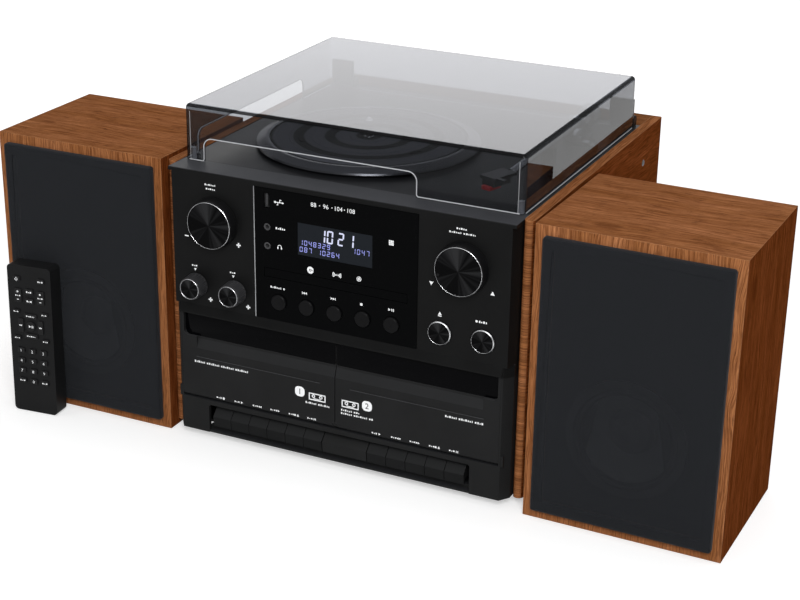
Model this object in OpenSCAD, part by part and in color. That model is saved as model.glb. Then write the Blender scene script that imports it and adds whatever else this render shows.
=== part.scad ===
// Stereo music centre: record deck under a smoked lid, radio and disc front,
// twin cassette decks with piano keys, two free-standing speakers, remote control.
// X runs to the right, Y to the back, Z up. The origin is on the table,
// under the middle of the wooden cabinet.

/* [Cabinet] */
// Width over the wooden sides
cab_w = 340; // [330:1:380]
// Height of the wooden sides
cab_h = 248; // [242:1:300]
// Depth of the wooden sides
cab_d = 330; // [326:1:380]
// Thickness of a wooden side
side_t = 9; // [7:0.5:14]
// Height of a rubber foot
foot_h = 7; // [4:0.5:14]
// Radius of a rubber foot
foot_r = 13; // [8:0.5:18]
// Thickness of the steel base plate
base_t = 2; // [1:0.5:4]
// Depth of the wooden rail behind the deck
rail_d = 34; // [26:1:36]
// Thickness of that rail
rail_t = 14; // [8:1:20]
// Thickness of the back cover
back_t = 3; // [2:0.5:5]

/* [Front moulding] */
// How far the moulding stands in front of the wood
front_proud = 13; // [11:0.5:20]
// Wall of the moulding
front_t = 3.5; // [2.5:0.5:5]
// Width of a post beside the doors
post_w = 8; // [7:0.5:12]
// Height of the bar under the keys
bar_h = 7; // [4:0.5:9]
// Height of the bay for the keys
key_bay_h = 26; // [25:0.5:34]
// Height of the sloping lip over the doors
lip_h = 8.6; // [6:0.2:12]
// How far the lip stands out
lip_proud = 2.5; // [1:0.5:5]
// Depth of the ledge in front of the deck
ledge_d = 28; // [20:1:30]
// Clearance beside doors, drawer and panels
gap = 0.4; // [0.3:0.1:0.8]

/* [Gloss panel] */
// Width of the gloss panel
panel_w = 152; // [146:1:180]
// Height of the gloss panel
panel_h = 118.4; // [114:0.2:119]
// Thickness of the gloss panel
panel_t = 2; // [1.5:0.5:3]
// How far it stands proud of the moulding
panel_proud = 0.5; // [0.2:0.1:1]
// Width of the display window
lcd_w = 70; // [50:1:80]
// Height of the display window
lcd_h = 29; // [20:1:34]
// Middle of the display above the panel's foot
lcd_up = 78.5; // [75:0.5:82]
// Middle of the socket column left of centre
socket_x = 64; // [60:0.5:68]
// Height of the USB socket above the panel's foot
usb_up = 107.5; // [98:0.5:109]
// Height of the line input above the panel's foot
aux_up = 84; // [80:0.5:88]
// Height of the headphone socket above the panel's foot
phones_up = 67; // [64:0.5:72]
// Radius of the hole for a 3.5 mm plug
jack_r = 1.8; // [1.75:0.05:2]

/* [Controls] */
// How far the controls sit inwards of the middle of their field
knob_in = 2.4; // [0:0.1:4]
// Middle of a large knob above the lip
knob_up = 79.5; // [72:0.5:90]
// Radius of a large knob
knob_r = 22.5; // [16:0.5:26]
// How far a large knob stands out
knob_len = 10; // [6:0.5:18]
// Distance between the two small controls of a side
small_pitch = 38.6; // [30:0.2:44]
// Height of the small controls above the lip
small_up = 19; // [17:0.5:26]
// Radius of a tone knob
tone_r = 10.8; // [7:0.2:12]
// How far a tone knob stands out
tone_len = 13; // [8:0.5:18]
// Radius of the eject and record buttons
push_r = 10.7; // [7:0.1:12]
// Radius of a round button on the gloss panel
button_r = 7; // [5:0.1:8]
// Distance between two round buttons
button_pitch = 26.6; // [20:0.2:28]
// How far a round button stands out
button_len = 3; // [2:0.5:6]
// Travel of a button
press = 1.5; // [1:0.1:2]

/* [Disc drawer] */
// Radius of the recess for a 120 mm disc
disc_r = 60.6; // [60.5:0.1:61]
// Width of the drawer front
flap_w = 134; // [130:0.5:138]
// Height of the drawer front
flap_h = 7.6; // [7:0.2:10]
// Foot of the drawer front above the lip
flap_up = 40; // [38:0.5:46]
// Length of the tray
tray_l = 150; // [145:1:170]
// Thickness of the tray
tray_t = 5; // [4:0.5:6]

/* [Cassette decks] */
// Height of a cassette door
door_h = 80.6; // [79:0.2:90]
// Radius of the door's hinge barrel
door_barrel_r = 4; // [3.5:0.1:5]
// Radius of the door's hinge pin
door_pin_r = 1.5; // [1:0.1:2]
// Height of the lower, thicker part of a door
door_low_h = 48.6; // [44:0.2:60]
// How far the window is set back from the lower part
window_back = 3.2; // [2:0.1:5]
// Length of the flush block at the outer end of the grip slope
grip_end = 15; // [6:0.5:24]
// Radius of the window's outer lower corner
window_r = 4.5; // [2:0.1:6]
// Width of the space for a cassette
tape_w = 102; // [101.5:0.5:106]
// Depth of the space for a cassette
tape_d = 12.4; // [12:0.1:14]
// Distance between two piano keys
key_pitch = 18.3; // [16:0.1:18.6]
// Middle of the outermost key from the centre line
key_x = 113.4; // [110:0.1:115]
// Clearance between two keys
key_gap = 0.6; // [0.4:0.1:1]
// Distance from a key's face to its pivot
key_l = 60; // [54:1:70]
// Radius of the key pivot rod
rod_r = 1.5; // [1:0.1:2]

/* [Record deck] */
// Height of the deck above the table, less than the wood by this much
deck_drop = 0.5; // [0:0.1:2]
// Thickness of the deck
deck_t = 3; // [2:0.5:4]
// Platter axis from the centre line, to the left
plat_left = 38; // [30:1:44]
// Platter axis from the front of the wood
plat_in = 127; // [122:1:130]
// Radius of the platter
plat_r = 101; // [96:0.5:104]
// Radius of a long-playing record
record_r = 152.4; // [150:0.1:153]
// Radius of the spindle
spindle_r = 3.6; // [3.5:0.05:3.6]
// Length of the spindle above the mat
spindle_up = 14.5; // [10:0.5:18]
// Thickness of the mat
mat_t = 1.5; // [1.2:0.1:2]
// Radius of the ring that the belt drives
drive_r = 60; // [50:1:66]
// Radius of the motor pulley
pulley_r = 5; // [3:0.5:8]
// Distance from the platter axis to the motor
motor_off = 75; // [73:1:80]
// Tonearm pivot from the wooden side
arm_in = 33.8; // [32:0.1:37]
// Tonearm pivot behind the platter axis
arm_back = 94; // [88:1:98]
// How far the stylus reaches past the spindle
arm_over = 0.1; // [-4:0.1:4]
// Radius of the arm tube
tube_r = 3.2; // [2.5:0.1:4]
// Height of the arm tube above the deck
arm_up = 18.5; // [17:0.5:20]

/* [Lid] */
// Distance from the outside of the wood to the lid
lid_side = 12.5; // [11:0.1:15]
// Depth of the lid
lid_d = 272.5; // [270:0.5:273]
// Height of the lid
lid_h = 49.5; // [46:0.5:70]
// Wall of the lid
lid_t = 2.5; // [2:0.1:4]
// Distance from the front of the wood to the lid
lid_in = 10.6; // [9:0.2:11]
// Height of the cut-outs for the record
lid_cut = 21; // [16:0.5:26]
// Radius of the lid's edges
lid_edge = 4; // [3:0.5:6]

/* [Speakers and remote] */
// Width of a speaker
spk_w = 170.7; // [160:0.1:200]
// Height of a speaker
spk_h = 258.5; // [240:0.5:300]
// Depth of a speaker
spk_d = 140.2; // [120:0.1:200]
// Board thickness of a speaker
spk_t = 10; // [8:0.5:15]
// Depth of the grille
grille_t = 6; // [5:0.5:10]
// Wood left bare beside the grille
grille_margin = 7.8; // [5:0.1:14]
// Height of the woofer's middle
woofer_z = 90; // [80:1:120]
// Radius of the woofer's frame
woofer_r = 51; // [46:0.5:60]
// Turn of the right speaker towards the listener
spk_turn = 1; // [0:0.1:3]
// Space between cabinet and right speaker
spk_space = 5.7; // [5:0.1:40]
// Width of the remote control
rem_w = 44.5; // [40:0.5:55]
// Length of the remote control
rem_l = 144; // [130:1:180]
// Thickness of the remote control
rem_t = 17; // [14:0.5:22]

/* [Hidden] */
$fn = 48;
fit = 0.05;          // radial clearance of a running fit
slack = 0.3;         // clearance between pieces of different bodies

inner = cab_w / 2 - side_t - 0.2;        // half width between the wooden sides
wood_y = -cab_d / 2;                     // front of the wood
face_y = wood_y - front_proud;           // front of the moulding
wall_y = face_y + front_t;               // back of the moulding's wall
cheek_y = wood_y + 8;                    // back of the moulding's cheeks
top_z = foot_h + cab_h;
deck_z = top_z - deck_drop;
floor_z = foot_h + base_t;               // top of the base plate
bay_z = foot_h + bar_h;                  // floor of the key bay
door_z = bay_z + key_bay_h + gap;        // foot of the doors
door_top = door_z + door_h;
lip_z = door_top + 1.4 + lip_h;          // foot of the upper front
bay_x = inner - post_w;                  // half width of the door bay
panel_z = lip_z + 0.6;
back_y = cab_d / 2 - 4;                  // outside of the back cover
deck_back = cab_d / 2 - rail_d - 1;

knob_x = (panel_w / 2 + inner) / 2 - knob_in;
plat_x = -plat_left;
arm_x = inner - arm_in;
plat_y = wood_y + plat_in;
rim_z = deck_z + 0.8;                    // lowest edge of the platter
mat_z = rim_z + 4.5;                     // face that carries the mat
rim_h = 6.3;
well_r = plat_r - 9;
well_z = deck_z - 10;                    // floor of the well under the platter
motor_x = plat_x + motor_off * cos(45);
motor_y = plat_y + motor_off * sin(45);
arm_y = plat_y + arm_back;
arm_l = norm([arm_x - plat_x, arm_back]) + arm_over;
arm_z = deck_z + arm_up;
rest_y = arm_y - 76;                     // arm rest
cue_x = arm_x + 19;                      // pivot of the cue lever
cue_y = arm_y - 20;
cue_z = deck_z + 4.4;
switch_x = arm_x + 16.5;                 // slot of the speed switch
switch_y = arm_y - 109;

lid_w = cab_w - 2 * lid_side;
lid_z = deck_z + 0.5;
lid_y = wood_y + lid_in;
lid_back = lid_y + lid_d;
hinge_y = lid_back + 7;
hinge_z = deck_z + 5;
hinge_r = 5;
hinge_x = lid_w / 2 - 12.5;

board_y = face_y + 14;                   // front of the control board
mech_y = face_y + 17;                    // front of the disc mechanism
flap_z = lip_z + flap_up;
tray_z = flap_z + 1.2;
door_y = face_y + door_barrel_r;         // hinge axis of the doors
door_axis_z = door_z + door_barrel_r;
door_w = bay_x - 1.5 * gap;
tape_y = face_y + window_back + 2.6;     // front of the cassette space
tape_x = (bay_x + gap) / 2;
deck_chassis_y = tape_y + tape_d + 5;
rod_y = face_y + key_l;
rod_z = bay_z + 10;
key_top = bay_z + 20.4;
left_keys = 6;
right_keys = 5;
key_bay_x = key_x + key_pitch / 2 + 4.5;

spk_l_x = -cab_w / 2 - 0.5 - spk_w;
spk_l_y = wood_y - 9;
spk_r_x = cab_w / 2 + spk_space;
spk_r_y = wood_y - 11;
rem_x = -323.7;
rem_y = spk_l_y - grille_t - 8;
rem_turn = 5.4;
rem_lean = asin((8 - rem_w * sin(rem_turn) - slack) / rem_l);

black = [0.07, 0.07, 0.075];
gloss = [0.03, 0.03, 0.035];
grey = [0.2, 0.2, 0.21];
silver = [0.75, 0.76, 0.78];
oak = [0.50, 0.29, 0.15];
brass = [0.78, 0.62, 0.30];
green = [0.08, 0.30, 0.16];

// ---------- shared shapes ----------

// Rectangle with true round corners, from the origin
module round_rect(w, h, r) {
    translate([r, 0]) square([w - 2 * r, h]);
    translate([0, r]) square([w, h - 2 * r]);
    for (x = [r, w - r], y = [r, h - r]) translate([x, y]) circle(r);
}

// Upright plate: outline in X and Z, thickness along +Y
module plate_y(y, t) {
    translate([0, y + t, 0]) rotate([90, 0, 0]) linear_extrude(t) children();
}

// Bar along X with its outline in Y and Z
module bar_x(x, l) {
    translate([x, 0, 0]) rotate([90, 0, 90]) linear_extrude(l) children();
}

// Round bar along Y from y0 to y1
module rod_along_y(x, z, y0, y1, r) {
    translate([x, y0, z]) rotate([-90, 0, 0]) cylinder(r = r, h = y1 - y0);
}

// Round bar along X from x0 to x1
module rod_along_x(y, z, x0, x1, r) {
    translate([x0, y, z]) rotate([0, 90, 0]) cylinder(r = r, h = x1 - x0);
}

// Revolved outline on an axis that points out of the front
module turned_front(x, y, z) {
    translate([x, y, z]) rotate([90, 0, 0]) rotate_extrude() children();
}

// ---------- cabinet ----------

module side_panels() {
    color(oak)
    for (s = [-1, 1])
        translate([s * (cab_w / 2 - side_t / 2), 0, foot_h])
        linear_extrude(cab_h) {
            translate([-side_t / 2, wood_y + side_t / 2]) square([side_t, cab_d - side_t / 2]);
            translate([0, wood_y + side_t / 2]) circle(side_t / 2);
        }
}

module rear_rail() {
    color(oak)
    translate([-inner, cab_d / 2 - rail_d, top_z - rail_t])
    cube([2 * inner, rail_d, rail_t]);
}

module back_cover() {
    slots = 9;
    slot_pitch = 9;
    color(black)
    difference() {
        plate_y(back_y - back_t, back_t)
        translate([-inner, floor_z])
        square([2 * inner, top_z - rail_t - floor_z - 0.2]);
        for (i = [0 : slots - 1], s = [-1, 1])
            plate_y(back_y - back_t - 1, back_t + 2)
            translate([s * 75 - 35, floor_z + 110 + i * slot_pitch])
            round_rect(70, 4, 1.9);
    }
}

module base_plate() {
    color(grey)
    translate([-inner, cheek_y + 0.2, foot_h])
    cube([2 * inner, back_y - back_t - cheek_y - 0.4, base_t]);
}

module feet() {
    foot_in = 28;
    color(black)
    for (x = [-1, 1], y = [-1, 1])
        translate([x * (inner - foot_in), y * (cab_d / 2 - foot_in), 0])
        rotate_extrude()
        polygon([[0, 0], [foot_r - 2, 0], [foot_r, 1.5], [foot_r + 1, foot_h], [0, foot_h]]);
}

// ---------- front ----------

// Channel seen from above: a front wall and two cheeks that reach behind the wood
module front_channel(chamfer_x, chamfer_y) {
    difference() {
        polygon([
            [-inner, cheek_y], [-inner, face_y + chamfer_y], [-inner + chamfer_x, face_y],
            [inner - chamfer_x, face_y], [inner, face_y + chamfer_y], [inner, cheek_y]
        ]);
        polygon([
            [-inner + 3, cheek_y + 1], [-inner + 3, wall_y + chamfer_y],
            [-inner + chamfer_x + 1, wall_y], [inner - chamfer_x - 1, wall_y],
            [inner - 3, wall_y + chamfer_y], [inner - 3, cheek_y + 1]
        ]);
    }
}

// Outline of a piano key cap in Y and Z
module key_outline() {
    polygon([
        [face_y - 1, bay_z + 10.8], [face_y + 8, key_top], [face_y + 12, key_top],
        [face_y + 12, bay_z + 6], [face_y + 3.4, bay_z + 6], [face_y + 3, bay_z + 1.2],
        [face_y + 0.4, bay_z + 1.2]
    ]);
}

module control_hole(x, z, r) {
    rod_along_y(x, z, face_y - 5, wall_y + 5, r);
}

function tone_x(i) = knob_x + (i - 0.5) * small_pitch;
function button_x(i) = (i - 2) * button_pitch;
button_z = panel_z + 17.4;
knob_z = lip_z + knob_up;
small_z = lip_z + small_up;

module front_panel() {
    post_y = door_y + door_barrel_r;
    fill_x0 = -key_x + (left_keys - 0.5) * key_pitch + key_gap;
    fill_x1 = key_x - (right_keys - 0.5) * key_pitch - key_gap;
    bay_corner = 2.5;
    color(black)
    difference() {
        union() {
            // upper front with its narrow corner chamfers
            translate([0, 0, lip_z - 0.6]) linear_extrude(deck_z - lip_z - 0.6)
            front_channel(3.3, 12);
            // lower front with wide corner chamfers
            translate([0, 0, foot_h + 1]) linear_extrude(lip_z - foot_h - 1)
            front_channel(6.5, 9);
            // ledge in front of the deck, with a rounded front edge
            bar_x(-inner, 2 * inner) {
                translate([face_y + 1.5, deck_z - 3]) square([ledge_d - 1.5, 3]);
                translate([face_y, deck_z - 3]) square([3, 1.5]);
                translate([face_y + 1.5, deck_z - 1.5]) circle(1.5);
            }
            // sloping lip over the doors
            bar_x(-bay_x - 0.9, 2 * bay_x + 1.8)
            polygon([
                [wall_y, lip_z + 0.2], [face_y, lip_z + 0.2], [face_y - lip_proud, lip_z - lip_h + 1.6],
                [face_y - lip_proud, lip_z - lip_h], [wall_y, lip_z - lip_h]
            ]);
            // bosses for the outer hinge pins
            for (s = [-1, 1])
                translate([s * (bay_x + 2) - 2, face_y + 0.5, door_axis_z - 5])
                cube([4, 2 * door_barrel_r + 1, 10]);
            // posts that carry the disc mechanism
            for (x = [-70, 70], z = [tray_z - 15, tray_z + 9.5])
                rod_along_y(x, z, wall_y - 1, mech_y, 3);
        }
        // bay for the two doors
        translate([-bay_x, face_y - 1, door_z - gap])
        cube([2 * bay_x, front_t + 1.5, door_h + 2 * gap + 1.2]);
        // bay for the keys
        plate_y(face_y - 1, front_t + 2)
        translate([-key_bay_x, foot_h - bay_corner - 1])
        round_rect(2 * key_bay_x, key_top - foot_h + bay_corner + 2, bay_corner);
        // pocket and window of the gloss panel
        translate([-panel_w / 2 - 0.1, face_y - 1, panel_z - 0.1])
        cube([panel_w + 0.2, 1 + panel_t - panel_proud, panel_h + 0.2]);
        translate([-lcd_w / 2 - 3, face_y - 1, panel_z + lcd_up - lcd_h / 2 - 3])
        cube([lcd_w + 6, front_t + 2, lcd_h + 6]);
        translate([-flap_w / 2 - gap, face_y - 1, flap_z - gap])
        cube([flap_w + 2 * gap, front_t + 2, flap_h + 2 * gap]);
        translate([-socket_x - 5.5, face_y - 1, panel_z + phones_up - 5.5])
        cube([11, front_t + 2, usb_up - phones_up + 13.5]);
        // holes of the controls
        for (s = [-1, 1]) control_hole(s * knob_x, knob_z, 3 + fit);
        for (i = [0, 1]) {
            control_hole(-tone_x(i), small_z, 3 + fit);
            control_hole(tone_x(i), small_z, push_r + slack);
        }
        for (i = [0 : 4]) control_hole(button_x(i), button_z, button_r + slack);
        // holes of the outer hinge pins
        rod_along_x(door_y, door_axis_z, -bay_x - 3.4, -bay_x + 1, door_pin_r + fit);
        rod_along_x(door_y, door_axis_z, bay_x - 1, bay_x + 3.4, door_pin_r + fit);
    }
    color(black)
    difference() {
        union() {
            // rail under the doors, bar under the keys and the blank between the decks
            bar_x(-bay_x - 1, 2 * bay_x + 2)
            translate([wall_y - 1, door_z - 5.2]) square([post_y - 2 + front_t - wall_y, 4.8]);
            bar_x(-key_bay_x - 1, 2 * key_bay_x + 2)
            translate([face_y + 4.6, foot_h + 1]) square([front_t, bar_h - 1]);
            bar_x(fill_x0, fill_x1 - fill_x0) {
                key_outline();
                translate([face_y + 4.6, bay_z - 1]) square([7.4, 8]);
                translate([post_y - 3, key_top - 1]) square([front_t, door_z - key_top - 1]);
            }
            // middle hinge lug between the doors
            rod_along_x(door_y, door_axis_z, -2, 2, door_barrel_r - slack);
            translate([-2, door_y, door_z - 2]) cube([4, 3.5, 4.5]);
        }
        rod_along_x(door_y, door_axis_z, -4, 4, door_pin_r + fit);
    }
}

module display_panel() {
    color(gloss)
    difference() {
        plate_y(face_y - panel_proud, panel_t)
        translate([-panel_w / 2, panel_z]) square([panel_w, panel_h]);
        translate([-lcd_w / 2, face_y - 3, panel_z + lcd_up - lcd_h / 2]) cube([lcd_w, 9, lcd_h]);
        translate([-flap_w / 2 - gap, face_y - 3, flap_z - gap])
        cube([flap_w + 2 * gap, 9, flap_h + 2 * gap]);
        for (i = [0 : 4]) control_hole(button_x(i), button_z, button_r + slack);
        translate([-socket_x - 2.7, face_y - 3, panel_z + usb_up - 6.4]) cube([5.4, 9, 12.8]);
        for (z = [aux_up, phones_up]) control_hole(-socket_x, panel_z + z, 3.3);
    }
}

module lcd_module() {
    glass_y = face_y - panel_proud + 0.4;
    z0 = panel_z + lcd_up - lcd_h / 2;
    color([0.16, 0.17, 0.2])
    union() {
        plate_y(glass_y, 2) translate([-lcd_w / 2 + 0.1, z0 + 0.1]) square([lcd_w - 0.2, lcd_h - 0.2]);
        plate_y(glass_y + 1.8, board_y - glass_y - 1.8)
        translate([-lcd_w / 2 - 2.6, z0 - 2.6]) square([lcd_w + 5.2, lcd_h + 5.2]);
    }
}

module front_sockets() {
    inlet_y = face_y - panel_proud + 0.2;
    color(silver) {
        // USB socket standing on edge, with its tongue
        difference() {
            translate([-socket_x - 3.5, face_y + panel_t - panel_proud, panel_z + usb_up - 7.2])
            cube([7, board_y - face_y - panel_t + panel_proud, 14.4]);
            translate([-socket_x - 2.6, face_y, panel_z + usb_up - 6.3]) cube([5.2, 11, 12.6]);
        }
        translate([-socket_x - 2, inlet_y + 2, panel_z + usb_up - 5.6]) cube([1.8, 11, 11.2]);
        // two jack sockets for 3.5 mm plugs
        for (z = [aux_up, phones_up])
            difference() {
                union() {
                    rod_along_y(-socket_x, panel_z + z, inlet_y, board_y, 3.1);
                    translate([-socket_x - 5, face_y + panel_t - panel_proud, panel_z + z - 5])
                    cube([10, board_y - face_y - panel_t + panel_proud, 10]);
                }
                rod_along_y(-socket_x, panel_z + z, inlet_y - 1, board_y - 1, jack_r);
            }
    }
}

// ---------- controls ----------

// Knob with a fluted skirt, a bright ring and a recessed cap
module knob(x, z, r, len, flutes) {
    shaft_end = board_y - 1;
    difference() {
        union() {
            turned_front(x, face_y - slack, z)
            polygon([
                [0, 0], [r, 0], [r, 0.8], [r - 0.6, len - 1.6], [r - 1.1, len - slack],
                [r - 2.2, len - slack], [r - 2.6, len - 0.9], [0, len - 0.5]
            ]);
            rod_along_y(x, z, face_y - 1, shaft_end, 3);
        }
        for (i = [0 : flutes - 1])
            translate([x, face_y - len, z]) rotate([0, i * 360 / flutes, 0])
            translate([r + 0.3, 1.8, 0]) rotate([-90, 0, 0]) cylinder(r = 0.9, h = len - 3, $fn = 16);
    }
}

// Push button with a retaining collar and a stem
module push_button(x, z, r, len) {
    turned_front(x, wall_y + 2.5, z)
    polygon([
        [0, 0], [r + 1.5, 0], [r + 1.5, 1.2], [r, 1.2],
        [r, front_t + 1.5 + len], [r - 0.7, front_t + 2.3 + len], [0, front_t + 2.5 + len]
    ]);
    rod_along_y(x, z, wall_y + 2, board_y - press - 0.5, 2);
}

module volume_knob() { color(black) knob(-knob_x, knob_z, knob_r, knob_len, 0); }
module scroll_knob() { color(black) knob(knob_x, knob_z, knob_r, knob_len, 0); }
module bass_knob() { color(grey) knob(-tone_x(1), small_z, tone_r, tone_len, 20); }
module treble_knob() { color(grey) knob(-tone_x(0), small_z, tone_r, tone_len, 20); }
module eject_button() { color(silver) push_button(tone_x(0), small_z, push_r, 1.2); }
module record_button() { color(silver) push_button(tone_x(1), small_z, push_r, 1.2); }
module panel_button(i) { color(black) push_button(button_x(i), button_z, button_r, button_len); }
module info_button() { panel_button(0); }
module previous_button() { panel_button(1); }
module next_button() { panel_button(2); }
module stop_button() { panel_button(3); }
module play_button() { panel_button(4); }

// ---------- disc drawer ----------

module cd_drawer() {
    disc_y = face_y + 5 + disc_r;
    half = disc_r + 4.5;
    color(black)
    difference() {
        union() {
            translate([-flap_w / 2, face_y - panel_proud, flap_z]) cube([flap_w, 3.4, flap_h]);
            translate([-half, face_y + 1, tray_z]) cube([2 * half, tray_l, tray_t]);
        }
        // recess for a full-size disc, and the deeper one for a small disc
        translate([0, disc_y, tray_z + tray_t - 1.6]) cylinder(r = disc_r, h = 4, $fn = 96);
        translate([0, disc_y, tray_z + tray_t - 2.8]) cylinder(r = 40.5, h = 4, $fn = 64);
        // slot for the spindle and the laser
        translate([-17, disc_y - 22, tray_z - 1]) cube([34, tray_l - disc_r + 30, tray_t + 2]);
    }
}

module cd_mechanism() {
    len = tray_l - 8;
    out_x = disc_r + 9;
    z0 = tray_z - 18;
    z1 = tray_z + tray_t + 6;
    disc_y = face_y + 5 + disc_r;
    color(grey) {
        difference() {
            translate([-out_x - 3, mech_y, z0]) cube([2 * out_x + 6, len, z1 - z0]);
            translate([-out_x, mech_y - 1, z0 + 2]) cube([2 * out_x, len + 2, z1 - z0]);
            translate([-17, disc_y - 15, z0 - 1]) cube([34, 60, 4]);
        }
        // runners under the tray
        for (s = [-1, 1])
            translate([s * (out_x - 3) - 3, mech_y, z0 + 1]) cube([6, len, tray_z - z0 - 1 - slack]);
        // bridge with the clamp
        translate([-out_x - 1, disc_y - 14, z1 - 2]) cube([2 * out_x + 2, 28, 2]);
        translate([0, disc_y, z1 - 4]) cylinder(r = 15, h = 3);
    }
    color(silver) {
        // sled with the spindle motor and the laser lens
        translate([-22, disc_y - 20, z0 + 1.5]) cube([44, 70, 5]);
        translate([0, disc_y, z0 + 6]) cylinder(r = 11, h = tray_z - z0 - 6 - 1);
        translate([0, disc_y + 30, z0 + 6]) cylinder(r = 4, h = 8);
    }
}

// ---------- cassette decks ----------

// One door, drawn for the right-hand side: x runs from the middle outwards
module cassette_door(side) {
    x0 = gap;
    rib_t = 2;
    pocket_x = tape_x - tape_w / 2;
    pocket_z = door_axis_z + door_barrel_r + 0.6;
    low_z = door_z + door_low_h;
    slope_h = 8.4;
    window_z = low_z + slope_h + 2.2;
    window_x = x0 + door_w - 2.2;
    back = tape_y + tape_d - 1;
    color(black)
    mirror([side < 0 ? 1 : 0, 0, 0])
    difference() {
        union() {
            // front, thin where it is flush and set back at the window
            bar_x(x0, door_w) {
                polygon([
                    [face_y, door_axis_z], [face_y, door_top], [face_y + window_back + 2.4, door_top],
                    [face_y + window_back + 2.4, low_z + 6], [face_y + 2.8, low_z - 3],
                    [face_y + 2.8, door_axis_z + 1], [door_y, door_axis_z]
                ]);
                translate([door_y, door_axis_z]) circle(door_barrel_r);
            }
            // pocket that carries the cassette
            for (x = [pocket_x - rib_t, pocket_x + tape_w])
                translate([x, face_y + 2, pocket_z]) cube([rib_t, back - face_y - 2, 52]);
            translate([pocket_x - rib_t, face_y + 2, pocket_z - 1.6])
            cube([tape_w + 2 * rib_t, back - face_y - 2, 1.6]);
            // outer hinge pin
            rod_along_x(door_y, door_axis_z, x0 + door_w - 1, bay_x + 3, door_pin_r);
        }
        // recess of the window, with a round outer lower corner
        plate_y(face_y - 1, window_back + 1)
        translate([-1, window_z]) round_rect(window_x + 1, door_top - window_z + window_r + 1, window_r);
        // grip slope, and the shallow band between it and the window
        bar_x(-1, x0 + door_w - grip_end + 1)
        polygon([
            [face_y - 1, low_z], [face_y, low_z], [face_y + window_back - 0.3, low_z + slope_h],
            [face_y + window_back - 0.3, window_z + 6], [face_y - 1, window_z + 6]
        ]);
        // room for the middle lug
        rod_along_x(door_y, door_axis_z, -1, 2 + slack, door_barrel_r + 0.1);
        // groove under the grip slope
        translate([14, face_y - 0.4, low_z - 8]) cube([door_w - 28, 0.8, 0.8]);
    }
    // inner hinge pin
    color(black)
    mirror([side < 0 ? 1 : 0, 0, 0])
    rod_along_x(door_y, door_axis_z, 0.2, 4, door_pin_r);
}

module cassette_door_left() { cassette_door(-1); }
module cassette_door_right() { cassette_door(1); }

module cassette_mechanisms() {
    reel = 21.25;
    z0 = door_axis_z + door_barrel_r + 2;
    hub_z = z0 + 35;
    feet_x = [-bay_x + 12, 9, bay_x - 12];
    color(grey) {
        difference() {
            translate([-bay_x, deck_chassis_y, door_z]) cube([2 * bay_x, 2, door_h - 4]);
            // windows behind the heads
            for (s = [-1, 1])
                translate([s * tape_x - 20, deck_chassis_y - 1, z0 + 52]) cube([40, 4, 8]);
        }
        // feet that stand on the base and hold the key rod
        for (x = feet_x)
            translate([x - 1.5, deck_chassis_y, floor_z])
            cube([3, rod_y - deck_chassis_y + 8, door_z - floor_z + 4]);
        rod_along_x(rod_y, rod_z, feet_x[0] - 4, feet_x[2] + 4, rod_r);
    }
    color(silver)
    for (s = [-1, 1]) {
        // reel spindles, capstan with its flywheel, and the tape head
        for (r = [-reel, reel]) {
            rod_along_y(s * tape_x + r, hub_z, tape_y + tape_d + 0.2, deck_chassis_y + 0.1, 2.2);
            rod_along_y(s * tape_x + r, hub_z, tape_y + tape_d + 2.2, deck_chassis_y + 0.1, 6);
        }
        rod_along_y(s * tape_x, hub_z - 2, deck_chassis_y + 1.9, deck_chassis_y + 14, 22);
        translate([s * tape_x - 7, tape_y + tape_d + 0.6, z0 + 54])
        cube([14, deck_chassis_y - tape_y - tape_d + 4, 7]);
        // drive motor of each deck
        rod_along_y(s * tape_x - 40, hub_z - 6, deck_chassis_y + 1.9, deck_chassis_y + 30, 14);
    }
}

// Piano key number i, counted from the left of its deck
module piano_key(x) {
    w = key_pitch - key_gap;
    color(black)
    difference() {
        union() {
            bar_x(x - w / 2, w) key_outline();
            bar_x(x - 3, 6)
            polygon([
                [face_y + 10, bay_z + 7], [face_y + 10, key_top - 1], [face_y + 14, key_top - 1],
                [rod_y, rod_z + 3.4], [rod_y, rod_z - 3.4]
            ]);
            rod_along_x(rod_y, rod_z, x - 6, x + 6, 3.4);
        }
        rod_along_x(rod_y, rod_z, x - 8, x + 8, rod_r + fit);
    }
}

function key1_x(i) = -key_x + i * key_pitch;
function key2_x(i) = key_x - (right_keys - 1 - i) * key_pitch;

module key1_record() { piano_key(key1_x(0)); }
module key1_play() { piano_key(key1_x(1)); }
module key1_rewind() { piano_key(key1_x(2)); }
module key1_forward() { piano_key(key1_x(3)); }
module key1_stop() { piano_key(key1_x(4)); }
module key1_pause() { piano_key(key1_x(5)); }
module key2_play() { piano_key(key2_x(0)); }
module key2_rewind() { piano_key(key2_x(1)); }
module key2_forward() { piano_key(key2_x(2)); }
module key2_stop() { piano_key(key2_x(3)); }
module key2_pause() { piano_key(key2_x(4)); }

// ---------- record deck ----------

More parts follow.
